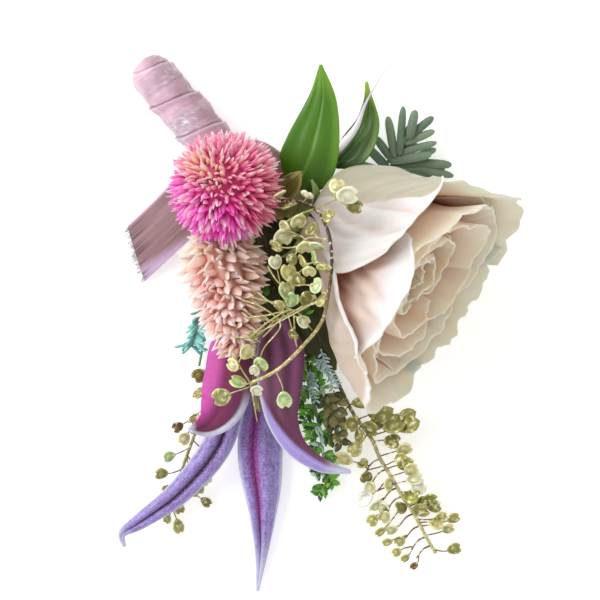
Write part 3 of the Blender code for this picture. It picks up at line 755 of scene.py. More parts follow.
def outer_petal(index):
    first, last, heights, outside, lip, frill = OUTER_PETALS[index]
    edges = (smooth_path(first, 8), smooth_path(last, 8))
    heights = smooth_path(heights, 8)

    def turned_to(share, across):
        start, end = along(edges[0], share), along(edges[1], share)
        return (start + end) / 2 + (end - start) / 2 * across

    def doubled(share, angle):
        """The first petal is doubled: a white fold lies over its back, which is painted beige shade where it
        faces away from the light.
        """
        if index != 1:
            return np.ones(len(share))
        return eased(angle + 47 + 18 * eased(share, 0.82, 1.0), 0.0, 4.0)

    def silkiness(share, across):
        """Fine creases that run up a petal at a slant."""
        return rippled((turned_to(share, across) + 62 * share) / 7, share * 1.5, index + 26.0)

    def surface(share, across):
        angle = turned_to(share, across)
        swell = np.sin(math.pi * np.clip(share, 0, 0.8))
        under = 4.0 * eased(across, 0.2, 0.8) * (index == 5) + 2.4 * eased(-across, 0.2, 0.8) * (index == 2)
        radius = rose_radius(share, angle) + (outside - under) * swell
        height = along(heights, (across + 1) / 2) * share * (1 - 0.05 * np.abs(across) ** 3 * share) + 0.6
        height = height - rose_sag(share, angle)
        turned = np.clip((share - 0.88) / 0.12, 0, 1) ** 2
        waved = 1 + 0.5 * rippled(angle / 18, share, index)
        radius = radius + lip * turned * waved * eased(across, -1.1, -0.7)
        height = height - lip * 0.4 * turned
        radius = radius + frill * 1.6 * share ** 5 * rippled(angle / 15, share * 1.5, index + 3.0)
        radius = radius + frill * 0.35 * share ** 9 * rippled(angle / 4.5, share * 2, index + 4.0)
        jagged = 1.2 * rippled(angle / 8, share, index + 9.0) + 0.4 * rippled(angle / 3.5, share, index)
        height = height + frill * jagged * share ** 8
        folds = (1.1 * hump(across, 0.12 + 0.3 * share, 0.12) + 0.9 * hump(across, -0.2 + 0.25 * share, 0.08)
                 + 0.8 * hump(across, 0.66 - 0.3 * share, 0.07))
        folds = folds * np.sin(math.pi * np.clip(share * 1.1 - 0.1, 0, 1))
        radius = radius - folds * FOLD_DEPTHS[index - 1]
        radius = radius + 0.9 * (doubled(share, angle) - 1) * eased(share, 0.05, 0.3)
        bulge = np.sin(math.pi * share)
        radius = radius + 1.0 * rippled(angle / 24, share * 3, index + 20.0) * bulge
        radius = radius + 0.55 * silkiness(share, across) * bulge * (index < 4)
        rolled = np.clip((-across - 0.86) / 0.14, 0, 1) * (index == 3)
        radius = radius + 1.3 * np.sin(rolled * math.pi * 0.7) * eased(share, 0.2, 0.5)
        return rose_point(height, radius, angle)

    def tints(share, across):
        pale, deep = BACK_TONES_AND_SHADE[index - 1]
        # How far each back turns to its deeper tone: partly the petal's own blush, and partly painted shade
        # at the first petal's foot, where the first shades the second, and over the third, which lies away
        # from the light.
        blush_and_shade = (0.7 - 1.0 * share, 1.1 * eased(0.92 - share + 0.16 * across, 0.0, 0.25), 1.0 - 0.5 * share,
                 0.6 - 0.4 * share, 0.7 - 0.6 * share)[index - 1]
        outer = mixed(pale[None], deep[None], blush_and_shade + 0.25 * rippled(share * 3, across * 3, index))
        # Beyond the white fold, the first petal's back is painted beige shade.
        back = 1 - doubled(share, turned_to(share, across))
        outer = mixed(outer, shade(172, 169, 142), 0.92 * back)
        # A painted highlight along the turned-back rims of the first three petals and along the third one's
        # rolled edge.
        rim = eased(share, 0.93, 0.98) * (index < 4)
        rim = rim + eased(-across, 0.87, 0.93) * eased(share, 0.2, 0.4) * (index == 3)
        outer = mixed(outer, shade(240, 240, 242), 0.85 * rim * (1 - back))
        # Painted shade along two of the creases.
        fold = hump(across, 0.14 + 0.3 * share, 0.09) + hump(across, -0.18 + 0.25 * share, 0.07)
        fold = fold * eased(share, 0.1, 0.3) * eased(0.98 - share, 0.0, 0.2)
        outer = mixed(outer, shade(208, 184, 172), 0.6 * fold)
        # The fine slanting creases get painted shade in their hollows and a painted highlight on their
        # crests.
        crease_light_and_shade = silkiness(share, across) * (index < 4)
        outer = mixed(outer, shade(206, 182, 170), 0.5 * np.clip(-crease_light_and_shade, 0, 0.6))
        outer = mixed(outer, shade(238, 240, 244), 0.3 * np.clip(crease_light_and_shade, 0, 1) * eased(share, 0.1, 0.4))
        return rose_inside(share, across, index, 0.0, GREENING[index - 1]), outer

    piece = skin(f"rose_petal_outer_{index}", surface, 76, 72, 0.34, tints)
    fitted(piece, ROSE_SKIN, "petal", f"rose_petal_outer_{index}")


def rose_inside(share, across, seed, warmth=0.0, greening=0.0):
    """Salmon deep in the flower, blush further up, and a cream rim, greener on the outer petals."""
    colour = mixed(shade(236, 138, 104)[None], shade(255, 196, 166)[None], eased(share, 0.4, 0.68 + warmth))
    colour = mixed(colour, shade(255, 228, 208), eased(share, 0.6 + warmth, 0.88))
    colour = mixed(colour, shade(244, 235, 212), eased(share, 0.84, 0.98))
    colour = mixed(colour, shade(212, 220, 204), greening * eased(share, 0.62, 0.92))
    blush = rippled(share * 4, across * 3, seed + 31.0) + 0.2
    return mixed(colour, shade(244, 192, 174), 0.45 * (1 - 0.9 * greening * share) * blush)


def nested_petal(name, middle, half_angle, scale, height, step, curl, frill, seed, rows, columns, *nodes):
    """A petal of the inner rings: scale is its share of the rose's outline. A positive curl bends its rim in
    over the heart, a negative one out."""
    def surface(share, across):
        widening = 0.42 + 0.58 * np.sin(np.minimum(share / 0.6, 1) * math.pi / 2)
        angle = middle + half_angle * widening * across * (1 - 0.12 * eased(share, 0.8, 1.0))
        radius = (rose_radius(share, angle) + step * across) * scale
        high = np.clip((share - 0.74) / 0.26, 0, 1)
        radius = radius - curl * high ** 2 * (1 + 0.5 * rippled(angle / 30, share, seed))
        radius = radius + frill * 1.6 * share ** 5 * rippled(angle / 13, share * 2, seed + 5.0)
        radius = radius + frill * 0.5 * share ** 8 * rippled(angle / 5, share * 3, seed + 6.0)
        radius = radius + 0.7 * np.sin(math.pi * share) * rippled(angle / 30, share * 3, seed + 8.0)
        radius = radius * (1 + 0.09 * share ** 2 * rippled(angle / 34, share, seed + 12.0))
        top = height * share * (1 - 0.07 * across ** 2 * share)
        jagged = 1.3 * rippled(angle / 12, share, seed + 2.0) + 0.5 * rippled(angle / 5, share, seed)
        return rose_point(top + frill * jagged * share ** 8 + 0.6, np.maximum(radius, 0.4), angle)

    def tints(share, across):
        outer = mixed(shade(238, 158, 122)[None], shade(255, 226, 204)[None], eased(share, 0.4, 0.85))
        outer = mixed(outer, shade(246, 236, 214), eased(share, 0.88, 0.99))
        return rose_inside(share, across, seed, 0.04), outer

    fitted(skin(name, surface, rows, columns, 0.34, tints), ROSE_SKIN, "petal", *nodes)


# The two rings of five: angle of the first petal, half angle, share of the rose's outline, heights, step,
# curl, frill, seed, rows and columns
RINGS = {
    "middle": (12, 52, 0.81, (34.4, 33.6, 34.6, 35.6, 37.2), 1.0, -0.8, 1.0, 40.0, 60, 56),
    "inner": (47, 54, 0.67, (32.4, 33.4, 34.8, 36.0, 34.4), 1.2, 0.4, 0.9, 50.0, 52, 50),
}


def rose():
    for index in OUTER_PETALS:
        outer_petal(index)
    for index in range(5):
        for ring, (first, half_angle, scale, heights, step, curl, frill, seed, *grid) in RINGS.items():
            name = f"rose_petal_{ring}_{index + 1}"
            nested_petal(name, first + 72 * index, half_angle, scale, heights[index], step, curl, frill,
                         index + seed, *grid, name)
    heart = (
        *((20 + 90 * k, 64, 0.5, 32.4 + 1.6 * math.sin(k * 2.2), 1.5, 1.6, 0.7, k + 60.0, 44, 46)
          for k in range(4)),
        *((65 + 120 * k, 78, 0.33, 31.0 + math.sin(k * 3.1), 2.0, 2.0, 0.5, k + 70.0, 40, 44)
          for k in range(3)),
        *((10 + 180 * k, 100, 0.17, 29.0 + k, 3.0, 1.4, 0.4, k + 80.0, 36, 40) for k in range(2)),
    )
    for index, petal in enumerate(heart):
        nested_petal(f"rose_heart_petal_{index + 1}", *petal, *(["rose_heart"] if index == 0 else []))
    rose_foot()


def rose_foot():
    """The stem, the hip and the five sepals under the petals."""
    inside = [BUNDLE_START + (BUNDLE_END - BUNDLE_START) * share for share in (0.08, 0.5, 1.0)]
    way = (point(3.0, -3.2, 7.4), ROSE_BASE - ROSE_AXIS * 7.5, ROSE_BASE - ROSE_AXIS * 4.2)
    route = smooth_path([*inside, *way], 10)
    stem("rose_stem", route, 1.5, shade(98, 122, 58), STEM_SKIN, "stem", "rose_stem", sides=18)

    hip = Bunch()
    heights = np.array((-4.2, -3.8, -2.8, -1.6, -0.6, 0.2, 0.4))
    points, faces = tube(ROSE_BASE + ROSE_AXIS * heights[:, None], (1.6, 2.3, 3.1, 3.5, 4.0, 4.6, 4.0), 24)
    hip.add(points, faces, shade(112, 134, 66))
    fitted(hip.piece("rose_hip"), STEM_SKIN, "stem", "rose_calyx")

    def tints(share, across):
        outside = mixed(shade(96, 122, 54)[None], shade(132, 140, 78)[None], share)
        return plain(shade(150, 168, 104), share), outside

    for index in range(5):
        turn = math.radians(20 + 72 * index)
        out = ROSE_NEAR * math.cos(turn) + ROSE_LOW * math.sin(turn)
        spine = [ROSE_BASE + ROSE_AXIS * rise + out * reach
                 for rise, reach in ((-0.9, 3.6), (-0.6, 6.2), (-1.2, 8.6), (-2.6, 10.6))]
        surface = blade_surface(spine, (1.9, 1.8, 1.0, 0.2), -ROSE_AXIS, 0.25)
        fitted(skin(f"rose_sepal_{index + 1}", surface, 22, 10, 0.35, tints), LEAF_SKIN, "stem")


# ---------------------------------------------------------------- the two bristly heads

def pointed(fullness, low=0.0):
    """A blade that swells by fullness and comes to a point."""
    def shape(points):
        tall = points[:, 1]
        body = np.sin(math.pi * np.clip(tall, 0, 1) ** fullness) ** 0.8 + 0.02
        across, over = slimmed(points, body)
        return np.column_stack([across, tall, over - low * across ** 2])
    return shape


def head_stem(name, way, base):
    route = bound_route(name, (*way, base))
    stem(f"{name}_stem", route, STEM_RADIUS, shade(104, 128, 60), STEM_SKIN, "stem", f"{name}_stem")


def ball_points(count, limit):
    """Evenly spread directions round +Z, down to a polar angle in degrees, starting at the top."""
    low = math.cos(math.radians(limit))
    z = 1 - (1 - low) * (np.arange(count) + 0.5) / count
    turn = np.arange(count) * GOLDEN_ANGLE
    flat = np.sqrt(np.maximum(1 - z * z, 0))
    return np.column_stack([flat * np.cos(turn), flat * np.sin(turn), z])


AMARANTH_CENTRE = point(-3.7, -2.8, 28.0)
AMARANTH_APEX = unit(point(-0.45, 0.35, 0.82))


def amaranth():
    base = AMARANTH_CENTRE - AMARANTH_APEX * 9.0
    head_stem("amaranth", (point(0.9, -5.0, 11.2), point(1.0, -6.2, 15.5)), base)
    bract = pattern(6, 7, pointed(0.72, 0.5))
    side = unit(np.cross(AMARANTH_APEX, UP))
    over = np.cross(side, AMARANTH_APEX)
    spread = ball_points(820, 158)
    outward = spread[:, :1] * side + spread[:, 1:2] * over + spread[:, 2:] * AMARANTH_APEX
    head = Bunch()
    core, faces = pattern(20, 14, lambda points: points)
    core = np.column_stack([core[:, 0], core[:, 1] * 2 - 1, core[:, 2]])
    head.add(AMARANTH_CENTRE + core * 9.4, faces, shade(206, 52, 126))
    for out in outward:
        near_apex = float(out @ AMARANTH_APEX)
        away = unit(out - AMARANTH_APEX * near_apex)
        jitter = point(*(chance.uniform(-0.36, 0.36) for _ in range(3)))
        way = unit(out + away * 0.22 * (1 - near_apex) + jitter)
        length = (2.5 + 1.2 * (1 - near_apex)) * chance.uniform(0.6, 1.2)
        lower_left = float(out @ unit(point(-0.55, -0.8, 0.1)))
        right = float(out @ point(0.97, -0.1, -0.2))
        top = float(out @ unit(point(0.25, 1.0, 0.1)))
        colour = toward(shade(255, 84, 158), shade(255, 186, 158), eased(near_apex, 0.7, 0.97))
        colour = toward(colour, shade(255, 66, 204), eased(lower_left, 0.05, 0.6))
        # The right side is darker raspberry: partly the bracts' own hue and partly painted shade, away from
        # the light.
        colour = toward(colour, shade(226, 70, 122), eased(right, 0.35, 0.9))
        colour = toward(colour, shade(250, 130, 176), eased(top, 0.45, 0.9))
        pale = chance.choice((0.1, 0.3, 0.5, 0.9)) + 0.3 * eased(near_apex, 0.5, 1.0)
        tip = toward(colour, shade(255, 226, 222), pale)
        width = chance.uniform(1.1, 1.6)
        root = colour * chance.uniform(0.8, 1.0)
        set_copy(head, bract, AMARANTH_CENTRE + out * 8.9, way * (length + 0.9), width, 0.6, out, root, tip)
    fitted(head.piece("amaranth_head"), PINK_PAPER, "pink_bract", "amaranth_head")


CELOSIA_BASE = point(-5.0, -13.4, 15.5)
CELOSIA_TIP = point(-0.7, -40.4, 21.0)


def celosia():
    axis = unit(CELOSIA_TIP - CELOSIA_BASE)
    length = float(np.linalg.norm(CELOSIA_TIP - CELOSIA_BASE))
    head_stem("celosia", (point(-2.8, -6.8, 10.5), point(-4.4, -9.8, 13.6)), CELOSIA_BASE + axis * 1.0)
    side = unit(np.cross(axis, UP))
    over = np.cross(side, axis)
    head = Bunch()

    def core_radius(share):
        return 8.0 * (1 - 0.66 * share) * np.sqrt(np.maximum(1 - (2 * share - 1) ** 4, 0))

    shares = np.linspace(0.005, 0.99, 16)
    points, faces = tube(CELOSIA_BASE + axis * (shares * length)[:, None], core_radius(shares) * 0.86, 18)
    head.add(points, faces, shade(246, 198, 178))
    bract = pattern(8, 8, pointed(0.62, 0.55))
    count = 390
    for index in range(count):
        share = 0.02 + 0.975 * (index / (count - 1)) ** 1.12
        turn = index * GOLDEN_ANGLE
        out = side * math.cos(turn) + over * math.sin(turn)
        lean = axis * (0.25 + 0.55 * share) - axis * 0.5 * max(0.0, 0.12 - share) / 0.12
        jitter = point(*(chance.uniform(-0.34, 0.34) for _ in range(3)))
        way = unit(out + lean + jitter)
        start = CELOSIA_BASE + axis * share * length + out * max(core_radius(share) - 0.7, 0.2)
        reach = chance.uniform(3.6, 6.6) * (1 - 0.3 * share)
        left = float(out @ point(-0.85, -0.35, 0.4))
        colour = toward(shade(255, 214, 200), shade(255, 238, 216), 1 - eased(share, 0.05, 0.4))
        colour = toward(colour, shade(255, 204, 200), eased(left, 0.1, 0.9) * eased(share, 0.15, 0.5))
        # The right side turns tan: painted shade, away from the light.
        colour = toward(colour, shade(222, 178, 146), eased(-left, 0.3, 0.95))
        colour = toward(colour, shade(226, 138, 92), 0.8 * eased(share, 0.9, 0.99))
        pale = chance.uniform(0.35, 0.85)
        # The tips are paler on the lit left side, a painted light, and the blush at the feet is browner on
        # the right, a painted shade.
        tip = toward(colour, shade(255, 250, 244), pale * (0.6 + 0.4 * eased(left, -0.6, 0.6)))
        blush = shade(240, 142, 126) if left > -0.2 else shade(208, 144, 110)
        root = toward(colour, blush, chance.uniform(0.35, 0.8) * (0.4 + eased(share, 0.1, 0.5) * 0.6))
        set_copy(head, bract, start, way * reach, chance.uniform(1.9, 2.9), 0.8, out + axis * 0.4, root, tip)
    fitted(head.piece("celosia_head"), PEACH_PAPER, "peach_bract", "celosia_head")


# ---------------------------------------------------------------- the clematis bell

LILAC, FROST = shade(160, 144, 214), shade(208, 210, 232)
MAGENTA, WINE, PLUM = shade(196, 56, 162), shade(124, 34, 84), shade(92, 44, 72)


def front_left_relief(share, across):
    lip = eased(share, 0.5, 0.75) * eased(-across, 0.55, 0.95) * 1.3
    return lip + 0.9 * eased(share, 0.86, 1.0) - 0.5 * hump(across, 0.0, 0.2) * share


def front_left_tints(share, across):
    face = mixed(WINE[None], MAGENTA[None], eased(across + 0.4 * (0.75 - share), 0.1, 0.85))
    face = mixed(face, PLUM, 0.6 * eased(-across, 0.3, 0.8))
    edge = eased(share, 0.42, 0.6) * eased(-across, 0.62, 0.8)
    face = mixed(face, FROST, np.maximum(edge, eased(share, 0.92, 0.98)))
    return plain(shade(120, 60, 130), share), face


def front_right_fold(share, across, start):
    """How far a place lies past the line where the tepal's lilac side turns up."""
    return across - (start - 1.35 * eased(share, 0.3, 0.8))


def front_right_relief(share, across):
    fold = front_right_fold(share, across, 0.95)
    return 0.9 * hump(fold, 0.0, 0.25) * eased(share, 0.2, 0.5) - 0.5 * eased(fold, 0.1, 0.8)


def front_right_tints(share, across):
    # Paler mauve stripes near the foot: painted highlights along the ribs.
    stripes = 0.5 + 0.5 * np.sin(across * 9 + share * 3)
    face = mixed(PLUM[None], shade(150, 84, 132)[None], stripes * eased(0.55 - share, -0.1, 0.4))
    face = mixed(face, shade(120, 44, 84), 0.5 * eased(share, 0.3, 0.7))
    turned = eased(front_right_fold(share, across, 0.9), -0.06, 0.1)
    face = mixed(face, LILAC, turned)
    face = mixed(face, FROST, turned * eased(np.abs(across), 0.75, 0.95))
    return plain(shade(120, 70, 130), share), mixed(face, FROST, eased(share, 0.82, 0.95))


def grooved(offset, depth):
    def relief(share, across):
        middle = offset * (1 - 0.5 * share)
        lobes = 0.9 * hump(np.abs(across - middle), 0.5, 0.3)
        return (lobes - depth * hump(across, middle, 0.16)) * eased(1.02 - share, 0.0, 0.2)
    return relief


def groove_tints(offset, groove):
    def tints(share, across):
        gap = np.abs(across - offset * (1 - 0.5 * share))
        veil = rippled(share * 40, across * 7, 3.0)
        under = mixed(LILAC[None], shade(124, 92, 168)[None], 0.45 + 0.9 * veil)
        inner = eased(0.5 - gap, 0.0, 0.3) * eased(0.8 - share, 0.0, 0.3)
        face = mixed(under, shade(136, 76, 158), 0.7 * inner)
        face = mixed(face, groove, eased(0.32 - gap, 0.0, 0.15) * eased(1.0 - share, 0.03, 0.3))
        face = mixed(face, FROST, eased(np.abs(across), 0.78, 0.96))
        return under, mixed(face, shade(206, 208, 230), eased(share, 0.72, 0.95))
    return tints


# Each tepal's spine, its half widths, its cup, its relief, its colours and its finish
TEPALS = {
    "front_left": (
        ((1.0, -35.6, 11.5), (-1.8, -40.0, 13.4), (-2.8, -47.0, 15.6), (-4.0, -53.0, 16.8),
         (-7.2, -57.2, 17.6), (-12.0, -58.4, 19.6)),
        (3.0, 4.8, 5.4, 5.5, 4.6, 2.6, 0.5), 0.35, front_left_relief, front_left_tints, FELT_INSIDE),
    "front_right": (
        ((8.0, -33.6, 11.5), (9.2, -41.0, 14.0), (9.2, -49.6, 16.0), (9.8, -56.4, 16.8), (12.8, -62.6, 16.8),
         (18.6, -66.8, 16.0), (25.4, -68.4, 14.4)),
        (3.0, 5.4, 5.2, 4.0, 3.0, 2.2, 1.5, 0.35), 0.35, front_right_relief, front_right_tints, FELT_INSIDE),
    "back_left": (
        ((2.8, -37.2, 7.4), (-1.6, -50.0, 7.2), (-5.4, -62.4, 7.4), (-14.0, -73.0, 7.2), (-23.0, -79.8, 5.4),
         (-27.4, -82.8, 3.6), (-27.0, -86.0, 1.6)),
        (1.4, 3.2, 3.4, 2.8, 1.8, 0.7, 0.15), 0.2, grooved(-0.1, 1.5),
        groove_tints(-0.1, shade(74, 40, 92)), FELT),
    "back_centre": (
        ((6.2, -37.2, 6.6), (5.8, -50.0, 4.2), (4.6, -63.0, 4.4), (5.2, -75.0, 4.6), (5.0, -86.0, 3.2),
         (4.0, -96.4, 1.2)),
        (1.4, 4.0, 5.2, 4.8, 3.0, 1.3, 0.15), 0.2, grooved(0.4, 1.6),
        groove_tints(0.4, shade(170, 40, 156)), FELT),
}


def clematis():
    way = ((1.2, -8.0, 3.8), (3.6, -18.0, 4.6), (4.8, -28.0, 8.0), (4.7, -35.6, 9.6))
    stem("clematis_stem", bound_route("clematis", way), STEM_RADIUS, shade(88, 74, 52), STEM_SKIN, "stem",
         "clematis_stem")
    for name, (spine, halves, cup, relief, tints, finish) in TEPALS.items():
        surface = blade_surface(spine, halves, point(0, -0.2, 1), cup, relief)
        tepal = skin(f"clematis_tepal_{name}", surface, 84, 44, 0.7, tints, rounding=1)
        fitted(tepal, finish, "tepal", f"clematis_tepal_{name}")

    threads = Bunch()
    axis = unit(point(-0.02, -1, 0.0))
    start = point(4.7, -36.4, 10.4)
    for index in range(34):
        turn = index * GOLDEN_ANGLE
        out = point(math.cos(turn), 0, math.sin(turn)) * 0.32 * math.sqrt(index)
        reach = axis * (18.2 - 0.12 * index)
        path = smooth_path([start + out * 0.35, start + reach * 0.5 + out * 0.8, start + reach + out], 4)
        points, faces = tube(path, (0.16,) * (len(path) - 3) + (0.3, 0.34, 0.12), 5)
        threads.add(points, faces, toward(shade(196, 190, 150), shade(150, 140, 70), index % 2))
    fitted(threads.piece("clematis_stamens"), STAMEN_SKIN, "stamen", "clematis_stamens")


# ---------------------------------------------------------------- leaves

def leaf(name, spine, halves, face, cup, colours, material, slot, rib=0.45, thickness=0.35):
    """A leaf with a pressed midrib. colours are the blade, its foot, its lit margin and its tip."""
    blade, foot, margin, tip = (shade(*c) for c in colours)

    def relief(share, across):
        fade = eased(1.0 - share, 0.0, 0.3)
        return (-rib * hump(across, 0.0, 0.08) + 0.03 * np.sin(across * 16 + share * 2)
                + 0.4 * rippled(share * 4, across * 2, len(name))) * fade

    def tints(share, across):
        top = mixed(blade[None], foot[None], eased(0.4 - share, -0.1, 0.35))
        top = mixed(top, margin, 0.8 * eased(across, 0.55, 0.95) * eased(share, 0.15, 0.5))
        top = mixed(top, tip, eased(share, 0.72, 0.98))
        top = mixed(top, margin, 0.55 * hump(across, 0.0, 0.07))
        return mixed(blade[None], margin[None], 0.35 + 0 * share), top

    piece = skin(name, blade_surface(spine, halves, face, cup, relief), 64, 34, thickness, tints)
    return fitted(piece, material, slot, *([name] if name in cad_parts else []))


def leaves():
    route = bound_route("ruscus", ((4.6, -1.0, 9.4), (9.8, -2.4, 9.2), (15.0, -0.4, 9.2), (21.5, 3.4, 9.0)))
    stem("ruscus_stem", route, np.linspace(0.75, 0.45, len(route)), shade(84, 122, 30), STEM_SKIN, "stem",
         "ruscus_stem")
    leaf("ruscus_leaf_large",
         ((11.0, -3.4, 11.6), (14.8, 1.4, 13.6), (17.2, 9.0, 14.4), (18.9, 17.6, 14.2), (18.6, 25.6, 12.6)),
         (1.2, 5.0, 6.6, 6.3, 5.2, 3.7, 2.0, 0.3), UP, 0.1,
         ((66, 122, 0), (44, 82, 0), (112, 164, 40), (104, 156, 16)), LEAF_SKIN, "leaf")
    leaf("ruscus_leaf_small",
         ((21.6, 2.6, 10.0), (25.6, 6.0, 10.6), (28.8, 11.0, 11.4), (29.6, 16.2, 12.2), (29.2, 21.7, 13.0)),
         (1.2, 3.8, 4.4, 3.6, 2.4, 1.0, 0.3), point(-0.4, 0.3, 0.8), 0.2,
         ((48, 88, 4), (36, 66, 2), (104, 148, 28), (140, 178, 50)), LEAF_SKIN, "leaf")
    leaf("gilded_leaf_upper",
         ((7.2, -5.4, 13.4), (9.4, -4.0, 16.6), (11.6, -2.0, 18.8), (14.2, 0.8, 19.4)),
         (0.8, 2.8, 3.2, 2.4, 0.3), point(-0.3, 0.3, 0.9), 0.2,
         ((112, 108, 46), (84, 84, 34), (168, 160, 88), (150, 140, 70)), OLIVE_SKIN, "olive_leaf")
    # The lower gilded leaf's dark olive is partly its own colour and partly painted shade, as it lies in
    # shadow under the rose.
    leaf("gilded_leaf_lower",
         ((4.0, -7.0, 7.0), (7.4, -13.5, 7.4), (10.0, -21.0, 8.6), (11.6, -28.5, 9.6)),
         (0.8, 3.2, 4.2, 3.4, 0.3), UP, 0.2,
         ((58, 56, 22), (40, 40, 16), (96, 90, 44), (84, 78, 38)), OLIVE_SKIN, "olive_leaf")
    # Leaves in the hollow between the celosia and the rose. The first three are painted dark green-brown,
    # partly the leaves' own olive and partly painted shade; the fourth is a plain gilded olive.
    backing = (
        ((3.0, -9.0, 6.0), (6.0, -17.0, 6.2), (8.0, -26.0, 6.2), (9.0, -37.0, 6.4)),
        ((6.0, -9.0, 5.2), (12.0, -16.0, 5.0), (16.6, -25.0, 4.8), (18.6, -37.0, 4.6)),
        ((10.0, -24.0, 6.6), (14.0, -31.0, 6.8), (18.0, -38.0, 6.6), (22.0, -45.0, 6.2)),
        ((2.0, -4.6, 9.6), (7.0, -4.6, 11.4), (12.6, -6.4, 13.0), (15.4, -11.4, 12.6)),
    )
    for index, spine in enumerate(backing):
        colours = ((58, 62, 28), (40, 44, 20), (88, 92, 44), (76, 80, 38))
        if index == 3:
            colours = ((132, 124, 66), (80, 76, 36), (170, 162, 96), (150, 142, 84))
        leaf(f"olive_leaf_back_{index + 1}", spine, (1.4, 4.4, 5.0, 3.8, 0.3), UP, 0.15, colours, OLIVE_SKIN,
             "olive_leaf")

    route = bound_route("lilac_blade", (
        (5.4, 2.6, 8.0), (11.0, 3.2, 7.4), (16.0, 3.6, 7.8), (19.6, 4.8, 9.8),
        (22.5, 6.2, 12.6), (26.6, 10.9, 15.2), (29.2, 17.1, 16.6), (33.4, 24.4, 17.4),
    ))
    shares = np.linspace(0, 1, len(route))
    radii = 0.7 + 0.35 * hump(shares, 0.72, 0.1) - 0.62 * eased(shares, 0.74, 1.0)
    points, faces = tube(route, radii, 12)
    tall = np.concatenate([[0], np.repeat(shares, 12), [1]])
    blade = Bunch()
    lilacs = mixed(shade(238, 236, 240)[None], shade(206, 190, 224)[None], eased(tall, 0.78, 0.96))
    blade.add(points, faces, lilacs)
    fitted(blade.piece("lilac_blade"), LILAC_SKIN, "lilac", "lilac_blade")


# ---------------------------------------------------------------- acacia

def blunt(points):
    """A leaflet with rounded ends and even sides."""
    across, over = slimmed(points, (1 - (2 * points[:, 1] - 1) ** 4) ** 0.5)
    return np.column_stack([across, points[:, 1], over])


LEAFLET = pattern(10, 10, blunt)


def upper_sprig():
    twigs = Bunch()
    route = bound_route("acacia_upper", ((7.0, 2.6, 4.6), (15, 4.4, 3.8), (25, 3.6, 3.4), (33.4, 1.4, 3.4)))
    twigs.add(*tube(route, 0.7, 9), shade(104, 124, 84))
    ribs = (((32.6, 1.4, 3.6), (36.6, 6.4, 6.2), (39.0, 9.6, 7.8)),
            ((33.0, 1.4, 3.4), (38.0, 1.6, 4.0), (44.0, 1.6, 4.6)))
    for rib in ribs:
        twigs.add(*tube(smooth_path(rib, 6), 0.42, 7), shade(98, 124, 96))
    # Where each leaflet ends, where it starts, and how high it lies
    shaded = (
        (44.0, 3.6, 34.6, 2.4, 4.4), (47.4, 1.6, 37.4, 2.6, 4.0), (44.6, 0.4, 35.0, 1.6, 3.6),
        (41.4, 1.6, 33.6, 1.0, 3.4), (41.0, 7.6, 35.2, 3.2, 5.2), (39.6, 12.0, 36.6, 5.0, 5.6),
    )
    for x, y, foot_x, foot_y, z in shaded:
        foot = point(foot_x, foot_y, z - 0.6)
        set_copy(twigs, LEAFLET, foot, point(x, y, z + 0.4) - foot, 2.3, 1.2, UP, shade(70, 88, 66),
                 shade(96, 118, 92))
    leaflets = (
        (34.1, 13.9, 35.8, 4.2, 6.6), (37.7, 16.2, 36.8, 4.6, 7.4), (40.5, 15.3, 39.0, 8.4, 8.6),
        (44.7, 13.7, 38.6, 8.8, 7.6), (45.0, 10.5, 37.6, 7.4, 7.0), (45.5, 7.8, 36.0, 5.2, 6.4),
        (44.3, 5.0, 34.2, 3.4, 6.0), (31.2, 9.2, 35.2, 3.6, 6.0), (29.2, 7.0, 34.4, 1.6, 5.0),
        (49.0, 2.6, 40.0, 3.2, 4.8), (49.5, 0.0, 38.4, 2.6, 4.4), (46.4, -2.5, 36.4, 2.0, 4.0),
        (45.4, 6.3, 38.0, 3.4, 5.0), (42.2, -3.4, 36.0, 1.8, 3.8), (30.6, -1.0, 35.0, 1.6, 3.6),
    )
    for x, y, foot_x, foot_y, z in leaflets:
        foot = point(foot_x, foot_y, z - 0.6)
        colour = shade(*chance.choice(((124, 146, 120), (104, 126, 100), (136, 158, 130), (112, 138, 112))))
        set_copy(twigs, LEAFLET, foot, point(x, y, z + 0.8) - foot, chance.uniform(1.8, 2.3), 1.2, UP,
                 colour * 0.7, colour)
    fitted(twigs.piece("acacia_upper_sprig"), SAGE_SKIN, "sage_leaf", "acacia_upper_sprig")


def left_tuft():
    tuft = Bunch()
    way = ((-3.2, -8.0, 4.0), (-5.4, -18.0, 3.2), (-8.0, -26.0, 3.4), (-9.4, -32.0, 3.8))
    tuft.add(*tube(bound_route("acacia_left", way), 0.6, 8), shade(110, 150, 110))
    rib = smooth_path(((-9.2, -31.0, 3.8), (-10.2, -35.6, 4.2), (-11.6, -39.6, 4.2)), 6)
    tuft.add(*tube(rib, 0.35, 6), shade(120, 176, 150))
    low = smooth_path(((-9.0, -34.0, 4.0), (-8.8, -39.0, 4.4), (-9.6, -44.0, 4.0)), 6)
    tuft.add(*tube(low, 0.28, 6), shade(110, 156, 84))
    count = 40
    for index in range(count):
        here = along(rib, 0.05 + 0.93 * index / (count - 1))
        hand = 1 if index % 2 else -1
        way = point(hand * chance.uniform(0.5, 1.0), chance.uniform(-1.2, -0.1), chance.uniform(-0.1, 0.7))
        colour = shade(*chance.choice(((128, 208, 200), (160, 226, 220), (104, 184, 172), (186, 236, 230))))
        set_copy(tuft, LEAFLET, here, unit(way) * chance.uniform(2.6, 4.4), 0.75, 0.5, UP, colour * 0.7,
                 colour)
    fitted(tuft.piece("acacia_left_sprig"), SAGE_SKIN, "sage_leaf", "acacia_left_sprig")


# ---------------------------------------------------------------- gilded peppergrass

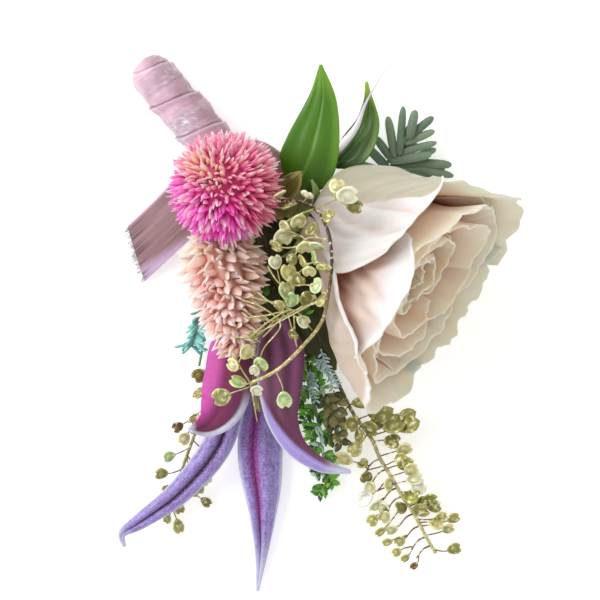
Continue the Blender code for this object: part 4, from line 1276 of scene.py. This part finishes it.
def pod_shape(points):
    """A round flat pod with a raised rim, a swollen seed in the middle and a notch at its tip."""
    x, y, z = points[:, 0], points[:, 1] * 2 - 1, points[:, 2]
    girth = np.hypot(x, y)
    rim = 0.42 * hump(girth, 0.84, 0.13) + 0.85 * hump(girth, 0.1, 0.42) + 0.1
    x = x * (0.82 + 0.2 * eased(y, -0.9, 0.4))
    y = y - 0.34 * hump(x, 0.0, 0.2) * eased(y, 0.3, 0.8)
    bowed = 0.35 * (y ** 2 - 0.4)
    return np.column_stack([x, (y + 1) / 2, np.sign(z) * rim * (np.abs(z) > 0.01) + bowed])


POD = pattern(16, 10, pod_shape, flat=True)
POD_GIRTH = np.hypot(POD[0][:, 0], POD[0][:, 1] * 2 - 1)
POD_RAISED_HIGHLIGHT = np.maximum(eased(POD_GIRTH, 0.7, 0.82), hump(POD_GIRTH, 0.1, 0.25))
GOLDS = ((214, 208, 150), (188, 182, 112), (156, 150, 84), (234, 231, 190), (134, 128, 66), (172, 168, 96))
MINTS = ((188, 212, 146), (166, 192, 128), (206, 224, 172))


def hang_pod(bunch, route, pod, size, colour, stalk):
    """A pod on a fine curved stalk from the nearest place on the route."""
    gaps = np.linalg.norm((route - pod)[:, :2], axis=1) + 0.25 * np.abs(route[:, 2] - pod[2])
    foot = route[max(int(np.argmin(gaps)) - 2, 0)]
    bend = (foot + pod) / 2 + unit(np.cross(unit(pod - foot), UP)) * 0.5 * chance.uniform(-1, 1) + UP * 0.4
    path = smooth_path([foot, bend, pod], 5)
    bunch.add(*tube(path, np.linspace(0.2, 0.13, len(path)), 5), stalk)
    facing = unit(UP + point(chance.uniform(-0.9, 0.9), chance.uniform(-0.9, 0.9), 0))
    reach = unit(pod - bend) * size
    # Each pod is darker towards its foot; its dish is painted shade, and its raised rim and seed get a
    # painted highlight.
    bright = np.minimum(colour * 1.25, 1.0)
    width = size * chance.uniform(0.78, 1.0)
    set_copy(bunch, POD, pod - reach * 0.5, reach, width, 1.1, facing, colour * 0.62, bright)
    bunch.tints[-1] = mixed(bunch.tints[-1] * 0.8, np.minimum(bright * 1.15, 1.0), 0.75 * POD_RAISED_HIGHLIGHT)


def spray(name, way, pods, stem_colours, twigs=(), twig_colour=(176, 168, 104), stalk=(150, 140, 80),
          thick=0.6, thin=0.35, knobs=0.0, swell=1.0):
    """A stem with pods on it and on its twigs. Each pod is (x, y, z, size), a chance gold, and after that its
    own colour or palette where it has one. knobs roughens the stem, and swell enlarges the pods."""
    bunch = Bunch()
    route = bound_route(name, way)
    shares = np.linspace(0, 1, len(route))
    points, faces = tube(route, thick + (thin - thick) * shares + knobs * np.abs(np.sin(shares * 150)), 9)
    tall = np.concatenate([[0], np.repeat(shares, 9), [1]])
    bunch.add(points, faces, along(np.array([shade(*c) for c in stem_colours]), tall))
    for twig in twigs:
        path = smooth_path(twig, 6)
        bunch.add(*tube(path, np.linspace(0.26, 0.14, len(path)), 7), shade(*twig_colour))
        route = np.concatenate([route, path])
    for x, y, z, size, *own in pods:
        palette = own[0] if own else GOLDS
        colour = shade(*(palette if isinstance(palette[0], int) else chance.choice(palette)))
        hang_pod(bunch, route, point(x, y, z), size * swell, colour, shade(*stalk))
    fitted(bunch.piece(f"{name}_spray"), GILT, "gilt_stem", f"{name}_spray")


# Each pod's place and size, and its colour where it is not a chance gold
CENTRE_PODS = (
    (24.6, -5.0, 44.0, 4.6, (232, 228, 190)), (22.1, -2.9, 42.0, 3.4), (26.2, -7.6, 43.0, 3.4),
    (20.2, -9.6, 43.0, 3.0), (15.4, -4.8, 40.0, 3.0), (9.2, -4.6, 34.0, 3.6),
    (9.9, -14.4, 34.0, 4.4, (236, 230, 178)), (13.5, -10.8, 38.0, 3.8),
    (15.0, -16.7, 38.0, 4.2, (228, 222, 164)), (17.7, -16.5, 40.0, 3.4, MINTS), (19.1, -21.6, 42.0, 3.4),
    (15.9, -22.2, 38.0, 3.6, (228, 220, 160)), (13.4, -24.0, 36.0, 3.2),
    (17.5, -25.5, 40.0, 3.6, (196, 222, 164)), (18.6, -28.8, 40.0, 3.0),
    (10.8, -26.4, 33.0, 4.0, (186, 200, 142)), (8.2, -20.0, 32.0, 3.0), (12.0, -19.4, 36.0, 3.0),
    (4.8, -43.4, 26.6, 4.0, (188, 214, 142)), (-0.4, -47.4, 25.2, 3.6, (178, 208, 132)),
    (-4.2, -50.9, 24.2, 4.0, (160, 160, 96)), (3.9, -49.4, 25.4, 2.6, (238, 234, 200)),
    (10.2, -51.6, 25.0, 3.6, (196, 218, 156)), (1.6, -40.6, 25.6, 3.4), (-1.6, -43.6, 25.0, 3.2),
    (10.4, -12.2, 35.0, 4.0, (232, 226, 176)), (8.4, -16.4, 33.0, 3.6), (12.6, -14.0, 36.4, 4.2),
    (14.4, -20.0, 37.4, 3.8), (16.4, -12.6, 39.4, 3.4), (11.2, -22.4, 34.0, 3.8),
    (17.0, -19.2, 40.0, 3.0, MINTS), (12.0, -28.6, 32.6, 3.6, MINTS), (15.6, -28.4, 35.0, 3.4),
    (9.2, -30.0, 31.0, 3.0), (11.4, -7.2, 36.0, 3.4), (14.6, -33.6, 32.0, 3.0, (224, 222, 178)),
    (12.2, -36.6, 30.0, 2.6), (3.2, -36.8, 27.4, 2.6), (3.4, -44.8, 26.2, 2.6),
)
CENTRE_TWIGS = (
    ((17.2, -8.0, 38.6), (13.0, -9.6, 38.4), (9.4, -11.6, 35.0)),
    ((20.4, -15.0, 43.8), (15.6, -14.6, 40.4), (12.6, -17.6, 37.0)),
    ((21.0, -21.0, 44.4), (16.6, -20.2, 40.6), (13.6, -22.4, 37.4)),
    ((20.2, -27.5, 42.2), (16.2, -25.4, 39.0), (12.0, -25.4, 35.0)),
    ((17.2, -8.0, 38.8), (20.4, -6.6, 41.8), (23.0, -5.6, 43.4)),
    ((2.5, -47.8, 24.8), (3.2, -52.0, 24.6), (4.0, -56.6, 23.6)),
    ((2.5, -47.8, 24.8), (0.0, -43.8, 25.6), (-1.6, -40.0, 26.0)),
    ((5.3, -37.2, 28.0), (10.4, -32.4, 31.0), (18.4, -28.6, 39.0)),
    ((2.5, -37.2, 28.0), (7.0, -33.4, 30.0), (12.4, -31.0, 32.0), (16.6, -35.6, 31.6)),
    ((1.6, -32.8, 27.0), (6.2, -32.2, 29.0), (10.6, -31.5, 31.0), (15.4, -34.0, 32.0)),
    ((4.1, -26.9, 28.0), (7.4, -29.4, 29.6), (12.4, -31.0, 32.0)),
    ((12.4, -31.0, 32.0), (12.6, -35.6, 30.4), (13.1, -39.4, 29.6)),
    ((6.4, -20.9, 27.0), (8.0, -23.6, 28.0), (9.4, -25.3, 29.0)),
    ((2.5, -28.0, 27.6), (8.0, -29.2, 29.4), (14.0, -28.8, 32.0)),
    ((3.2, -32.4, 27.2), (8.4, -33.4, 28.6), (11.2, -30.0, 31.0), (12.8, -24.6, 34.0)),
    ((-1.2, -37.2, 26.4), (3.6, -37.0, 27.8), (8.6, -33.0, 30.0)),
    ((0.4, -28.6, 27.4), (5.2, -30.4, 29.0), (9.4, -34.4, 30.0), (5.4, -40.0, 28.0), (4.0, -45.6, 26.0)),
)
LEFT_PODS = (
    (-13.1, -60.9, 5.0, 3.6), (-16.6, -65.0, 5.0, 3.4, MINTS), (-18.4, -69.0, 4.6, 3.4),
    (-6.4, -66.7, 4.0, 4.2), (-10.4, -72.4, 3.6, 4.2), (-14.3, -77.0, 3.0, 3.2),
    (-14.4, -81.3, 2.6, 3.8, (170, 168, 96)), (-9.6, -46.2, 4.4, 3.8, (140, 128, 70)),
    (-9.8, -50.3, 4.4, 3.4), (-10.8, -56.3, 4.4, 3.2, (132, 110, 64)),
    (-14.6, -58.2, 4.4, 3.0, (120, 92, 60)), (-8.2, -70.2, 3.8, 3.6),
    (-12.0, -69.0, 4.4, 3.2, MINTS), (-17.0, -72.6, 4.0, 3.0), (-8.0, -75.6, 3.0, 3.0),
    (-17.0, -79.6, 2.6, 2.4),
)
RIGHT_PODS = (
    (24.0, -65.6, 4.6, 4.6, (206, 196, 128)), (28.4, -66.6, 4.6, 3.0), (29.2, -69.8, 4.6, 3.4),
    (28.8, -74.7, 4.6, 4.8, (240, 241, 216)), (33.0, -77.0, 4.6, 4.0, (226, 228, 184)),
    (30.6, -79.8, 4.4, 3.2), (32.4, -82.5, 4.4, 3.0), (34.0, -84.9, 4.2, 2.8), (36.2, -87.2, 4.0, 2.6),
    (38.2, -88.6, 3.8, 2.6), (40.3, -90.4, 3.4, 2.4, (128, 96, 60)), (30.0, -72.4, 4.8, 4.0, (222, 220, 168)),
    (31.4, -76.4, 4.6, 4.0, (216, 222, 176)), (33.4, -79.0, 4.6, 3.6),
    (35.0, -82.0, 4.4, 3.4, (210, 214, 160)), (37.0, -84.6, 4.2, 3.2), (26.6, -63.2, 4.8, 4.2),
    (38.0, -63.2, 7.0, 4.2), (38.4, -66.8, 7.0, 4.4, (150, 150, 70)), (40.4, -70.2, 6.8, 4.4),
    (39.6, -74.2, 6.8, 4.6, (146, 146, 66)), (41.8, -77.4, 6.6, 4.6), (43.8, -75.2, 6.4, 4.4, (132, 134, 60)),
    (45.6, -80.4, 6.0, 4.0), (34.4, -71.4, 6.8, 3.6), (37.2, -76.8, 6.6, 3.4, (140, 136, 70)),
    (35.6, -57.4, 7.2, 6.0, (136, 136, 68)), (31.8, -54.6, 6.8, 5.0, (124, 122, 60)), (25.8, -57.4, 6.0, 4.2),
    (23.2, -60.4, 5.6, 4.4, (128, 124, 62)), (27.6, -60.2, 6.0, 3.6), (22.0, -56.2, 5.4, 3.6, (112, 118, 58)),
    (33.3, -56.0, 7.0, 7.0, (140, 138, 72)), (38.6, -56.8, 7.2, 6.4, (150, 146, 78)), (27.6, -52.6, 6.0, 4.0),
    (30.2, -58.4, 6.6, 4.6, (142, 138, 72)), (35.2, -61.4, 6.8, 4.2), (37.2, -65.2, 6.8, 3.4),
    (39.6, -68.0, 6.8, 3.8), (41.2, -72.0, 6.6, 4.0, (232, 234, 206)), (42.2, -75.4, 6.4, 3.0),
    (45.0, -76.6, 6.2, 3.4, (140, 138, 74)), (46.6, -78.8, 5.8, 3.0), (49.4, -79.3, 5.4, 3.4, (170, 164, 92)),
    (48.2, -81.8, 5.2, 3.2), (49.6, -86.4, 4.4, 3.6, (150, 150, 84)),
)
# Where the right spray's bare twigs leave its stem
RIGHT_FEET = (
    (32.4, -65.5, 5.2), (33.9, -67.9, 5.2), (35.2, -70.1, 5.3), (36.4, -72.2, 5.2), (37.5, -74.2, 5.2),
    (38.9, -76.2, 5.0), (40.2, -78.2, 4.8), (41.7, -81.0, 4.5), (43.0, -83.6, 4.2), (44.2, -85.6, 3.8),
)


def peppergrass():
    spray(
        "lepidium_centre",
        ((3.8, -4.6, 12.0), (7.8, -6.0, 20.0), (12.2, -6.0, 30.0), (17.2, -8.0, 38.6), (20.1, -13.0, 43.4),
         (21.0, -20.0, 44.8), (20.2, -27.5, 42.4), (18.8, -33.5, 36.4), (15.0, -38.6, 30.0),
         (9.0, -44.4, 26.4),
         (2.5, -47.8, 24.8)),
        CENTRE_PODS,
        ((72, 62, 36), (84, 70, 40), (92, 70, 44), (70, 44, 40), (84, 58, 42), (176, 160, 100),
         (196, 186, 128)),
        twigs=CENTRE_TWIGS,
        stalk=(196, 188, 128), thick=0.32, thin=0.36, knobs=0.12, swell=1.2,
    )
    spray(
        "lepidium_left",
        ((-1.8, -12.0, 3.2), (-2.8, -25.7, 2.6), (-4.6, -39.7, 2.4), (-8.6, -54.0, 2.4), (-13.6, -68.0, 2.6),
         (-17.2, -79.0, 2.4)),
        LEFT_PODS,
        ((84, 90, 50), (132, 126, 70), (150, 142, 82), (150, 142, 82)),
        stalk=(140, 128, 76),
    )
    spray(
        "lepidium_right",
        ((5, -7, 3.6), (10.5, -18, 2.6), (15.5, -31, 2.4), (20, -42, 2.8), (24.4, -51.7, 4.0),
         (26.7, -55.8, 4.6),
         (30.4, -60.9, 5.0), (32.4, -65.5, 5.2), (35.2, -70.1, 5.3), (37.5, -74.2, 5.2), (40.2, -78.2, 4.8),
         (43.2, -83.9, 4.2), (45.3, -87.4, 3.2)),
        RIGHT_PODS,
        ((60, 64, 34), (60, 62, 34), (64, 60, 34), (150, 140, 84), (206, 200, 146), (200, 194, 138)),
        twig_colour=(112, 84, 52),
        twigs=[(foot, foot + point(-1.8, -0.9, 0.4), foot + point(-3.4, -3.0, -0.2))
               for foot in (point(*place) for place in RIGHT_FEET)],
        stalk=(118, 88, 56), thick=0.45, thin=0.38, knobs=0.1,
    )


# ---------------------------------------------------------------- the fern frond

def fern():
    frond = Bunch()
    route = bound_route("fern", (
        (2.8, -9.0, 4.4), (6.5, -22.0, 5.0), (11.5, -35.0, 5.6), (15.5, -47.0, 5.6), (18.6, -60.0, 4.4),
        (20.0, -74.0, 2.6),
    ))
    frond.add(*tube(route, np.linspace(0.75, 0.3, len(route)), 8), shade(96, 130, 70))
    leaflet = pattern(6, 6, pointed(0.8, 0.2))
    greens = ((112, 184, 52), (142, 204, 76), (74, 130, 38), (96, 156, 50), (204, 236, 214), (52, 90, 32))
    olives = ((112, 108, 52), (88, 84, 38), (140, 136, 78), (70, 78, 34))
    mints = ((176, 214, 208), (150, 192, 186), (208, 232, 228))

    def plume(start, way, reach, width, colours, size, steps):
        """A side branch with a leaflet on either hand at every step."""
        path = smooth_path([start, start + way * reach * 0.5, start + way * reach + point(0, -0.6, -0.4)], 5)
        frond.add(*tube(path, 0.18, 5), shade(*colours[0]) * 0.8)
        for step in range(steps):
            foot = along(path, 0.12 + 0.86 * step / (steps - 1))
            for turn in (-1, 1):
                out = np.cross(way, UP) * turn + way * chance.uniform(0.5, 1.1)
                out = unit(out + UP * chance.uniform(-0.2, 0.5))
                colour = shade(*chance.choice(colours))
                long = size * chance.uniform(0.65, 1.15) * (1 - 0.35 * step / steps)
                set_copy(frond, leaflet, foot, out * long, width, 0.35, UP, colour * 0.7, colour)

    count = 24
    for index in range(count):
        share = 0.54 + 0.44 * index / (count - 1)
        here = along(route, share)
        ahead = unit(along(route, min(share + 0.02, 1)) - along(route, share - 0.02))
        side = unit(np.cross(ahead, UP)) * (1 if index % 2 else -1)
        way = unit(side + ahead * chance.uniform(0.8, 1.3) + UP * chance.uniform(-0.05, 0.4))
        plume(here, way, 8.2 * (1 - 0.78 * index / count) * chance.uniform(0.8, 1.15), 1.15, greens, 3.1, 6)
    for start, way, reach in (
        ((17.0, -42.0, 7.4), (0.7, -0.7, 0.1), 8.0), ((18.6, -40.0, 7.6), (0.3, -0.9, 0.1), 9.0),
        ((16.0, -44.6, 7.2), (0.2, -1.0, 0.1), 7.0),
    ):
        plume(point(*start), unit(point(*way)), reach, 0.6, mints, 2.0, 9)
    for start, way, reach in (
        ((18.6, -51.0, 6.6), (0.6, -0.8, 0.0), 7.5), ((19.8, -55.0, 6.0), (0.5, -0.9, 0.0), 7.0),
        ((21.6, -49.6, 6.4), (0.2, -1.0, 0.0), 6.0),
    ):
        plume(point(*start), unit(point(*way)), reach, 2.0, olives, 3.8, 4)
    fitted(frond.piece("fern_frond"), FERN_SKIN, "fern_leaf", "fern_frond")


# ---------------------------------------------------------------- the whole, its light and its camera

wrap_piece()
ribbon_knot()
left_tail()
right_tail()
rose()
amaranth()
celosia()
clematis()
leaves()
upper_sprig()
left_tuft()
peppergrass()
fern()

deselect()
bpy.ops.mesh.primitive_plane_add(size=30)
floor = bpy.context.object
floor.name = "floor"
pale = bpy.data.materials.new("pale_floor")
pale.use_nodes = True
floor_shader = pale.node_tree.nodes["Principled BSDF"]
floor_shader.inputs["Base Color"].default_value = (0.9, 0.9, 0.9, 1)
floor_shader.inputs["Roughness"].default_value = 0.9
floor_shader.inputs["Emission Color"].default_value = (1, 1, 1, 1)
floor_shader.inputs["Emission Strength"].default_value = 0.42
floor.data.materials.append(pale)

world = bpy.data.worlds.new("studio")
world.use_nodes = True
world.node_tree.nodes["Background"].inputs["Color"].default_value = (1, 1, 1, 1)
world.node_tree.nodes["Background"].inputs["Strength"].default_value = 0.7
bpy.context.scene.world = world
bpy.context.scene.view_settings.view_transform = "Standard"

bpy.ops.object.light_add(type="SUN", rotation=(math.radians(-24), math.radians(-50), 0))
sun = bpy.context.object
sun.name = "soft_key"
sun.data.energy = 1.9
sun.data.angle = math.radians(50)

VIEW_CENTRE = metres((13.8, -28.7, 18.0))
VIEW_WIDTH = 0.138
VIEW_DISTANCE = 1.6
bpy.ops.object.camera_add(location=tuple(VIEW_CENTRE + UP * VIEW_DISTANCE), rotation=(0, 0, 0))
camera = bpy.context.object
camera.data.sensor_width = 36
camera.data.lens = 36 * VIEW_DISTANCE / VIEW_WIDTH
camera.data.clip_start = 0.05
camera.data.clip_end = 50
bpy.context.scene.camera = camera
